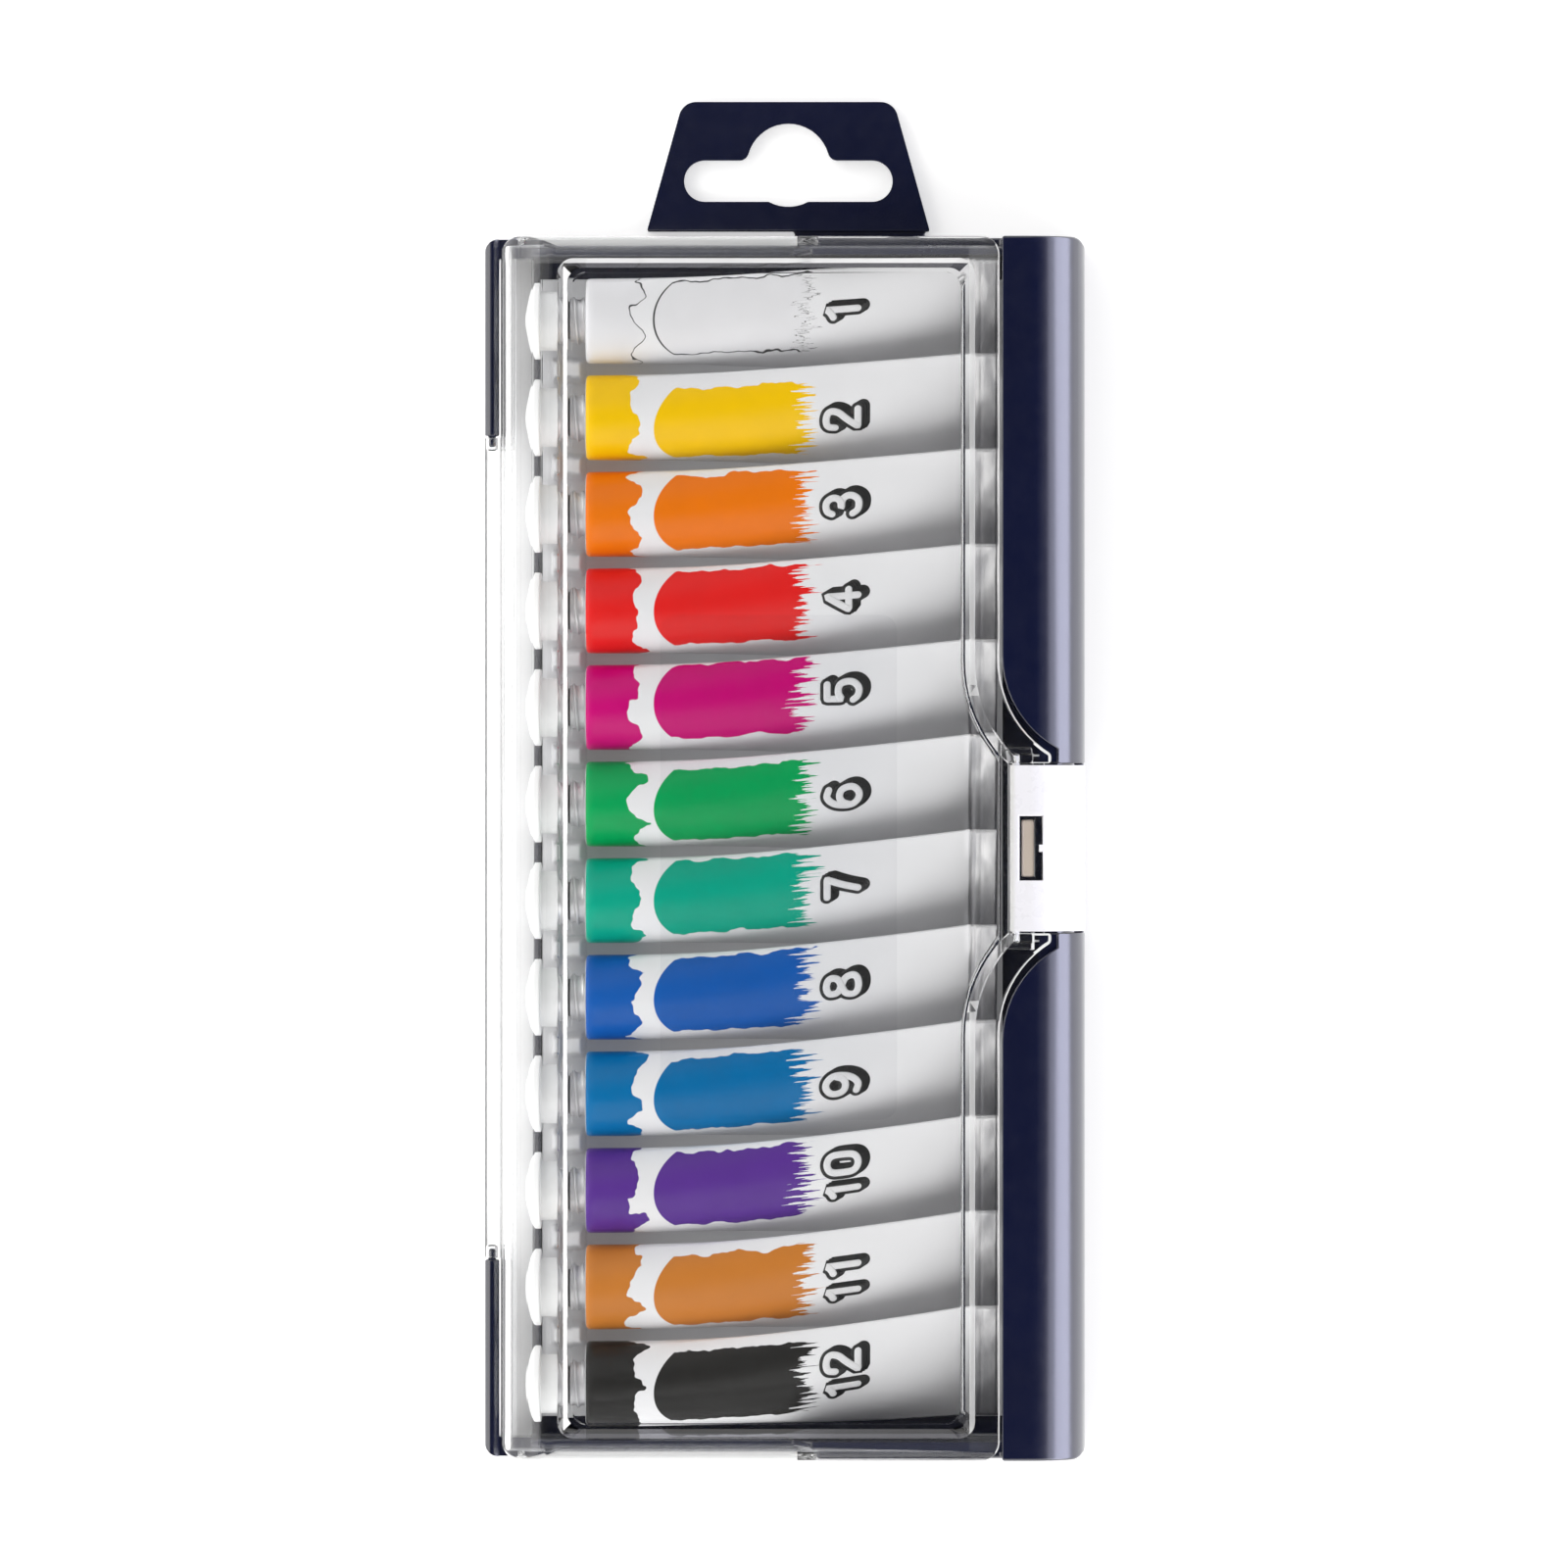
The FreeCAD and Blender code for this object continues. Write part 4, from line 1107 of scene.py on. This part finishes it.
FIGURES = {
    "0": Stroke(((0, .5), (.02, .9), (.31, 1.04), (.6, .9), (.62, .5), (.6, .1), (.31, -.04),
                 (.02, .1)), True),
    "1": Stroke(((.1, .8), (.26, .88), (.36, 1), (.36, 1), (.36, 0))),
    "2": Stroke(((.02, .74), (.06, .99), (.34, 1.05), (.62, .95), (.58, .64), (.34, .4),
                 (.02, 0), (.02, 0), (.64, 0))),
    "3": Stroke(((.03, .84), (.13, 1.02), (.46, 1.05), (.62, .8), (.5, .56), (.24, .54),
                 (.24, .54), (.54, .52), (.68, .26), (.5, -.04), (.13, -.03), (0, .17))),
    "4": Stroke(((.46, 0), (.46, 1), (.46, 1), (0, .3), (0, .3), (.66, .3))),
    "5": Stroke(((.58, 1), (.1, 1), (.1, 1), (.06, .54), (.06, .54), (.28, .66), (.6, .6),
                 (.66, .2), (.42, -.05), (.12, -.02), (0, .15))),
    "6": Stroke(((.56, .95), (.3, 1.04), (.03, .74), (-.03, .2), (.2, -.05), (.46, -.04),
                 (.66, .18), (.58, .54), (.3, .62), (.1, .5), (.03, .3))),
    "7": Stroke(((0, 1), (.62, 1), (.62, 1), (.4, .5), (.24, 0))),
    "8": Stroke(((.31, .54), (.56, .64), (.6, .94), (.31, 1.05), (.02, .94), (.06, .64),
                 (.31, .54), (.62, .4), (.66, .06), (.31, -.05), (-.04, .06), (0, .4)), True),
    "9": Stroke(((.06, .05), (.32, -.04), (.59, .26), (.65, .8), (.42, 1.05), (.16, 1.04),
                 (-.04, .82), (.04, .46), (.32, .38), (.52, .5), (.59, .7))),
}


@dataclass
class LabelNumber:
    """A tube's number, printed on its label in white with a black outline and drop."""

    tube: PaintTube
    along: float = 9.2 * MM
    height: float = 4.9 * MM
    figure_step: float = 0.92
    figure_middle: float = 0.31
    pen: float = 0.115
    outline: float = 0.225
    drop: float = 0.85 * MM
    shift: float = 0.45 * MM
    rim_lift: float = 0.005 * MM
    figure_lift: float = 0.002 * MM
    white_lift: float = 0.07 * MM
    black_lifts: tuple[float, ...] = (0.05 * MM, 0.035 * MM, 0.02 * MM)

    def figures(self, half_pen: float) -> list[np.ndarray]:
        """Draw the number flat, middle at zero.

        Args:
            half_pen: Half the pen's width, as a share of the figure's height.

        Returns:
            A ribbon for each figure, as a grid of points across and up in metres.
        """
        digits = str(self.tube.paint.number)
        start = -self.figure_middle - self.figure_step * (len(digits) - 1) / 2
        return [self.height * (FIGURES[digit].ribbon(half_pen)
                               + (start + self.figure_step * place, -0.5))
                for place, digit in enumerate(digits)]

    def wrapped(self, flat: np.ndarray, lift: np.ndarray) -> np.ndarray:
        """Lay flat points on the tube's skin.

        Args:
            flat: Points across and up the number.
            lift: Height above the skin, one for each column.

        Returns:
            Points on the skin, moved out along its normal, which is the cross product of the
            steps along and round it.
        """
        size, skin = self.tube.sizes, self.tube.skin
        share = (self.along - flat[..., 1] - size.shoulder_x) / size.taper
        angle = size.label_turn - (self.tube.paint.roll + flat[..., 0]) / size.radius
        step = 1e-4
        on = skin(share, angle)
        normal = np.cross(skin(share, angle + step) - on, skin(share + step, angle) - on)
        out = normal / np.linalg.norm(normal, axis=-1, keepdims=True)
        return on + lift[..., None] * out

    def layer(self, name: str, half_pen: float, moves: list[tuple[float, float, float]],
              ink: PaintPaste) -> None:
        """Make one ink layer, each ribbon closed from the skin up to its own height.

        Args:
            name: Name of the piece.
            half_pen: Half the pen's width, as a share of the figure's height.
            moves: For each copy of the number, its move across and down and its lift.
            ink: The ink.
        """
        points, faces, count = [], [], 0
        for across, down, lift in moves:
            for number, flat in enumerate(self.figures(half_pen)):
                flat = flat + (across, -down)
                rim = np.concatenate((flat[:, :1], flat, flat[:, -1:]), 1)
                lifts = np.full(rim.shape[1], lift + number * self.figure_lift)
                lifts[[0, -1]] = self.rim_lift
                surface = Surface(self.wrapped(rim, lifts), closed_round=False)
                points.append(surface.points.reshape(-1, 3))
                faces.append(surface.faces() + count)
                count += len(points[-1])
        mesh = put_in_mesh(name, np.concatenate(points), [np.concatenate(faces)])
        add_piece(mesh, Body.BASE.value, f"tube_{self.tube.paint.tag}", None, ink.material())

    def build(self) -> None:
        """Make the black outline with its drop, then the white number over them."""
        tag = self.tube.paint.tag
        moves = [(share * self.shift, share * self.drop, lift)
                 for share, lift in zip((0, 0.5, 1), self.black_lifts)]
        self.layer(f"number_{tag}_outline", self.outline, moves,
                   PaintPaste(f"black_ink_{tag}", BLACK_INK))
        self.layer(f"number_{tag}_fill", self.pen, [(0, 0, self.white_lift)],
                   PaintPaste(f"white_ink_{tag}", WHITE_INK))


# ----------------------------------------------------------------------------- caps


@dataclass
class ScrewCap:
    """White screw cap: domed disc, plain grip, and the bore that turns on the spout."""

    paint: Paint
    sizes: TubeSizes = field(default_factory=TubeSizes)
    top_x: float = -41.3 * MM
    dome: float = 1.4 * MM
    disc_radius: float = 6.1 * MM
    disc_thick: float = 1.0 * MM
    grip_radius: float = 4.7 * MM
    mouth_x: float = -34.5 * MM
    bore_radius: float = 3.11 * MM
    bore_end: float = -39.5 * MM
    edge: float = 0.16 * MM
    columns: int = 72
    dome_rows: int = 14
    dome_start: float = 0.07
    edge_rows: int = 5
    grip_rows: int = 6
    flat_weight: int = 60

    def corner(self, x: float, radius: float, x_way: float, radius_way: float) -> np.ndarray:
        """Round a corner about a centre, from along X to along the radius."""
        quarter = np.linspace(0, np.pi / 2, self.edge_rows)
        return np.stack((x + x_way * self.edge * np.cos(quarter),
                         radius + radius_way * self.edge * np.sin(quarter)), 1)

    def profile(self) -> np.ndarray:
        """Give the turned outline, from the dome's middle to the bore's end.

        Returns:
            Pairs of X and radius. The dome is a circle's arc; the disc's two edges and the mouth
            are rounded by quarter circles, and the grip meets the disc in a small hollow.
        """
        edge, grip_radius = self.edge, self.grip_radius
        rim = self.disc_radius - edge
        bend = (rim**2 + self.dome**2) / (2 * self.dome)
        swing = np.linspace(self.dome_start, 1, self.dome_rows) * math.asin(rim / bend)
        dome = np.stack((self.top_x + bend * (1 - np.cos(swing)), bend * np.sin(swing)), 1)
        disc_x = self.top_x + self.dome
        under_x = disc_x + self.disc_thick
        grip_x = np.linspace(under_x + 2 * edge, self.mouth_x - 2 * edge, self.grip_rows)
        return np.concatenate((
            dome,
            self.corner(disc_x + edge, rim, -1, 1),
            self.corner(under_x - edge, rim, 1, 1)[::-1],
            self.corner(under_x + edge, grip_radius + edge, -1, -1),
            np.stack((grip_x, np.full(self.grip_rows, grip_radius)), 1),
            self.corner(self.mouth_x - edge, grip_radius - edge, 1, 1)[::-1],
            ((self.mouth_x, self.bore_radius + edge), (self.mouth_x - edge, self.bore_radius),
             (self.bore_end, self.bore_radius))))

    def build(self) -> None:
        """Turn the outline round the tube's axis."""
        outline, cap = self.profile(), f"cap_{self.paint.tag}"
        angle = np.arange(self.columns) / self.columns * 2 * np.pi
        x, radius = outline[:, :1], outline[:, 1:]
        y = self.sizes.axis_y(self.paint.number) + radius * np.cos(angle)
        z = self.sizes.axis_z + radius * np.sin(angle)
        mesh = Surface(np.stack(np.broadcast_arrays(x, y, z), -1)).mesh(cap + "_turned")
        piece = add_piece(mesh, cap, Slot.CAP.value, cap, CAP_WHITE.material())
        modify(piece, "flat_faces", "WEIGHTED_NORMAL", weight=self.flat_weight)


# --------------------------------------------------------------------- tray and film


@dataclass
class TrayInsert:
    """Formed white sheet on the tray's floor with hollow fingers between the tubes' necks."""

    tubes: TubeSizes = field(default_factory=TubeSizes)
    left: float = -39.1 * MM
    right: float = 44.0 * MM
    half: float = 91.0 * MM
    top: float = 2.3 * MM
    thick: float = 0.68 * MM
    finger_left: float = -37.6 * MM
    finger_right: float = -31.8 * MM
    finger_half: float = 2.0 * MM
    finger_top: float = 8.2 * MM
    draft: float = 0.9 * MM
    fine_to: float = -31.6 * MM
    notch_left: float = 34.9 * MM
    notch_half: float = 29.6 * MM
    rows: tuple[int, int, int] = (40, 16, 4)
    columns: tuple[int, int, int] = (220, 200, 220)

    @staticmethod
    def stops(ends: tuple[float, ...], counts: tuple[int, ...]) -> np.ndarray:
        """Divide each run between two ends evenly, by its count of points."""
        runs = [np.linspace(*run) for run in zip(ends[:-1], ends[1:], counts)]
        return np.unique(np.concatenate(runs))

    def build(self) -> None:
        """Form the sheet: its height is the floor plus each finger's rise.

        A finger's rise is the product of one smooth step up and down along X and another across
        Y, taken from the nearest gap between two tubes. The cells beside the latch are left out.
        """
        x = self.stops((self.left, self.fine_to, self.notch_left, self.right), self.rows)
        y = self.stops((-self.half, -self.notch_half, self.notch_half, self.half), self.columns)
        grid_x, grid_y = np.meshgrid(x, y, indexing="ij")
        pitch = self.tubes.pitch
        first_gap = self.tubes.axis_y(1) - pitch / 2
        gap = np.clip(np.round((first_gap - grid_y) / pitch), 0, self.tubes.count - 2)
        off = np.abs(grid_y - (first_gap - gap * pitch))
        across = 1 - ease(self.finger_half - self.draft, self.finger_half, off)
        along = hump(self.finger_left, self.finger_left + self.draft,
                     self.finger_right - self.draft, self.finger_right, grid_x)
        height = self.top + (self.finger_top - self.top) * across * along
        surface = Surface(np.stack((grid_x, grid_y, height), -1), False, True)
        flat, faces = surface.points.reshape(-1, 3), surface.faces()
        middle = flat[faces].mean(1)
        kept = (middle[:, 0] < self.notch_left) | (np.abs(middle[:, 1]) > self.notch_half)
        used, corners = np.unique(faces[kept], return_inverse=True)
        mesh = put_in_mesh("tray_insert_sheet", flat[used], [corners.reshape(-1, 4)])
        piece = add_piece(mesh, Body.BASE.value, Slot.INSERT.value, "tray_insert",
                          INSERT_WHITE_PAINTED_GLOW.material())
        modify(piece, "sheet_thickness", "SOLIDIFY", thickness=self.thick, offset=-1)


@dataclass
class LidFilm:
    """Blank clear film stuck on the lid's raised panel."""

    left: float = -19.7 * MM
    right: float = 17.8 * MM
    foot: float = -43.0 * MM
    head: float = 37.0 * MM
    corner: float = 2.5 * MM
    corner_columns: int = 12
    under: float = 20.02 * MM
    upper: float = 20.12 * MM

    def build(self) -> None:
        """Make a closed sheet whose outline is a rectangle with four quarter circles."""
        turn = np.linspace(0, np.pi / 2, self.corner_columns) + np.arange(4)[:, None] * np.pi / 2
        outline = []
        for low, high, signs, swing in ((self.left, self.right, (1, -1, -1, 1), np.cos(turn)),
                                        (self.foot, self.head, (1, 1, -1, -1), np.sin(turn))):
            centre = (low + high) / 2 + np.array(signs)[:, None] * ((high - low) / 2 - self.corner)
            outline.append((centre + self.corner * swing).ravel())
        rings = [np.stack((*outline, np.full(turn.size, z)), 1) for z in (self.under, self.upper)]
        mesh = Surface(np.stack(rings)).mesh("lid_film_sheet")
        mesh.polygons.foreach_set("use_smooth", np.zeros(len(mesh.polygons), bool))
        add_piece(mesh, Body.LID.value, Slot.FILM.value, "lid_film", FILM.material())


# --------------------------------------------------------------------------- studio


@dataclass(frozen=True)
class SoftBox:
    """A flat square-cornered lamp that faces the box."""

    name: str
    place: Place
    width: float
    height: float
    glow: float
    colour: Colour = (1.0, 1.0, 1.0)
    lights_only: tuple[str, ...] = ()

    def build(self) -> None:
        """Hang the lamp, turned to the middle of the box.

        Its power is its glow times pi times its area, so that the glow is what a mirror shows.
        """
        lamp = bpy.data.lights.new(self.name, "AREA")
        lamp.shape = "RECTANGLE"
        lamp.size, lamp.size_y = self.width, self.height
        lamp.energy = self.glow * math.pi * self.width * self.height
        lamp.color = self.colour
        holder = bpy.data.objects.new(self.name, lamp)
        holder.location = self.place
        holder.rotation_euler = (-Vector(self.place)).to_track_quat("-Z", "Y").to_euler()
        holder.visible_camera = False
        bpy.context.scene.collection.objects.link(holder)

    def flag(self) -> None:
        """Screen the lamp off from all but the pieces that it lights, where it lights only some."""
        if self.lights_only:
            reach = bpy.data.collections.new(self.name + "_reach")
            for name in self.lights_only:
                reach.objects.link(bpy.data.objects[name])
            bpy.data.objects[self.name].light_linking.receiver_collection = reach


@dataclass(frozen=True)
class FloorSheet(Finish):
    """White sheet that glows a little, but not where the box stands."""

    colour: Colour = (0.84, 0.84, 0.845)
    glow: float = 0.45
    shaded_half: tuple[float, float] = (44.5 * MM, 95.0 * MM)
    shade_edge: float = 0.5 * MM
    cloud_scale: float = 8.0

    def shader(self, sketch: NodeSketch) -> Socket:
        """Make matt white with a faint cloud, and the glow beyond the shaded rectangle."""
        cloud = sketch.noise(sketch.place(), self.cloud_scale, 2)
        parts = sketch.node("SeparateXYZ", {0: sketch.place()}).outputs
        beyond = [sketch.maths("SUBTRACT", sketch.maths("ABSOLUTE", part), half)
                  for part, half in zip(parts, self.shaded_half)]
        lit = sketch.spread(sketch.maths("MAXIMUM", *beyond), 0.0, self.shade_edge, 0.0, self.glow)
        return sketch.principled({
            "Base Color": sketch.blend(cloud, self.colour, dimmed(self.colour, 0.99)),
            "Roughness": 0.85, "Specular IOR Level": 0.1,
            "Emission Color": (1, 1, 1, 1), "Emission Strength": lit})


WARM, LAVENDER = (1.0, 0.985, 0.96), (0.78, 0.79, 1.0)
OPAQUE = ("base_moulding", "latch_moulding")


@dataclass
class Studio:
    """White self-lit table, a surround with a dark ceiling, soft boxes, and the camera above."""

    eye: Place = (-0.1 * MM, 10.2 * MM, 1600.0 * MM)
    view_width: float = 250.0 * MM
    view_height: float = 10.0 * MM
    sensor: float = 36.0
    floor_half: float = 2.5
    floor_drop: float = 0.05 * MM
    floor_stops: int = 9
    surround: float = 0.8
    mirrored: float = 0.6
    bright_way: Place = (-0.15, 0.12, 0.0)
    shades: tuple[tuple[float, float], ...] = ((0.7, 1.0), (0.8, 0.45), (0.93, 0.03))
    lamps: tuple[SoftBox, ...] = (
        SoftBox("key_box", (-0.45, 0.6, 0.75), 1.2, 1.2, 0.6, WARM),
        SoftBox("front_box", (0.2, -0.75, 0.6), 1.6, 1.0, 1.5, WARM),
        SoftBox("right_strip", (0.6, 0.0, 0.18), 1.5, 0.36, 5.0, LAVENDER, OPAQUE),
        SoftBox("right_fade", (0.6, 0.0, 0.5), 1.5, 0.26, 1.6, LAVENDER, OPAQUE),
        SoftBox("left_wall", (-0.6, 0.0, 0.3), 1.5, 0.6, 1.5, (1.0, 0.98, 0.95)))

    def build(self) -> None:
        """Set up the floor, the light and the camera."""
        self.build_floor()
        self.build_light()
        for lamp in self.lamps:
            lamp.build()
        self.build_camera()
        bpy.context.scene.view_settings.view_transform = "Standard"

    def build_floor(self) -> None:
        """Lay a large flat white sheet under the box."""
        span = np.linspace(-self.floor_half, self.floor_half, self.floor_stops)
        x, y = np.meshgrid(span, span, indexing="ij")
        points = np.stack((x, y, np.full_like(x, -self.floor_drop)), -1)
        mesh = Surface(points, False, True).mesh("floor", capped=False)
        floor = bpy.data.objects.new("floor", mesh)
        bpy.context.scene.collection.objects.link(floor)
        mesh.materials.append(FloorSheet("floor_sheet").material())

    def build_light(self) -> None:
        """Light the set from all round above the horizon, more from one side, with a dark ceiling.

        The light from a direction is the shade at its height, from the pairs of shades, times one
        plus its dot product with the bright way. A gloss shows only the mirrored share of it.
        """
        world = bpy.data.worlds.new("surround")
        bpy.context.scene.world = world
        sketch = NodeSketch(world)
        way = sketch.node("TexCoord").outputs["Generated"]
        up = sketch.node("SeparateXYZ", {0: way}).outputs["Z"]
        ramp = sketch.node("ValToRGB", {0: up})
        stops = ramp.color_ramp.elements
        stops.remove(stops[1])
        stops[0].color = (1, 1, 1, 1)
        for height, shade in self.shades:
            stops.new(height).color = (shade, shade, shade, 1)
        lean = sketch.node("VectorMath", {0: way, 1: self.bright_way}, operation="DOT_PRODUCT")
        whole = sketch.maths("MULTIPLY_ADD", lean.outputs["Value"], self.surround, self.surround)
        glossy = sketch.node("LightPath").outputs["Is Glossy Ray"]
        flagged = sketch.maths("MULTIPLY_ADD", glossy, self.mirrored - 1.0, 1.0)
        shown = sketch.maths("MULTIPLY", whole, flagged)
        light = sketch.node("Background", {"Color": ramp.outputs[0], "Strength": shown})
        sketch.node("OutputWorld", {"Surface": light.outputs[0]})

    def build_camera(self) -> None:
        """Look straight down with the hang tab at the top of the picture."""
        lens = bpy.data.cameras.new("camera")
        lens.sensor_width = self.sensor
        lens.lens = self.sensor * (self.eye[2] - self.view_height) / self.view_width
        camera = bpy.data.objects.new("camera", lens)
        camera.location = Vector(self.eye)
        bpy.context.scene.collection.objects.link(camera)
        bpy.context.scene.camera = camera


# ------------------------------------------------------------------------- whole box

PAINTS = tuple(Paint(number, linear(*colour), roll * MM) for number, colour, roll in (
    (1, (232, 231, 233), 1.6), (2, (250, 200, 0), -0.5), (3, (240, 121, 8), 1.2),
    (4, (232, 34, 32), 1.4), (5, (205, 0, 118), 2.2), (6, (0, 165, 88), 0.7),
    (7, (0, 168, 138), 1.6), (8, (20, 92, 178), 1.3), (9, (0, 112, 172), 0.8),
    (10, (92, 52, 146), 1.4), (11, (204, 126, 52), 0.2), (12, (44, 43, 42), 0.3)))


@dataclass
class PaintBox:
    """The whole box: base, lid and latch mouldings, tray insert, and a row of capped tubes."""

    paints: tuple[Paint, ...] = PAINTS
    mouldings: tuple[Moulding, ...] = (
        Moulding("base", Body.BASE, Slot.NAVY, NAVY),
        Moulding("lid", Body.LID, Slot.CLEAR, CLEAR, 0.45 * MM, patches=LID_PATCHES,
                 cuts=LID_CUTS),
        Moulding("latch", Body.LATCH, Slot.LATCH, LATCH_WHITE, 0.3 * MM))

    def build(self) -> None:
        """Build every piece in order, from the base up."""
        for moulding in self.mouldings:
            moulding.build()
        TrayInsert().build()
        LidFilm().build()
        for paint in self.paints:
            tube = PaintTube(paint)
            tube.build()
            LabelNumber(tube).build()
            ScrewCap(paint).build()


def main() -> None:
    """Build the studio and the box, and report each piece."""
    logging.basicConfig(level=logging.INFO, format="%(name)s: %(message)s")
    studio = Studio()
    studio.build()
    PaintBox().build()
    for lamp in studio.lamps:
        lamp.flag()


if __name__ == "__main__":
    main()
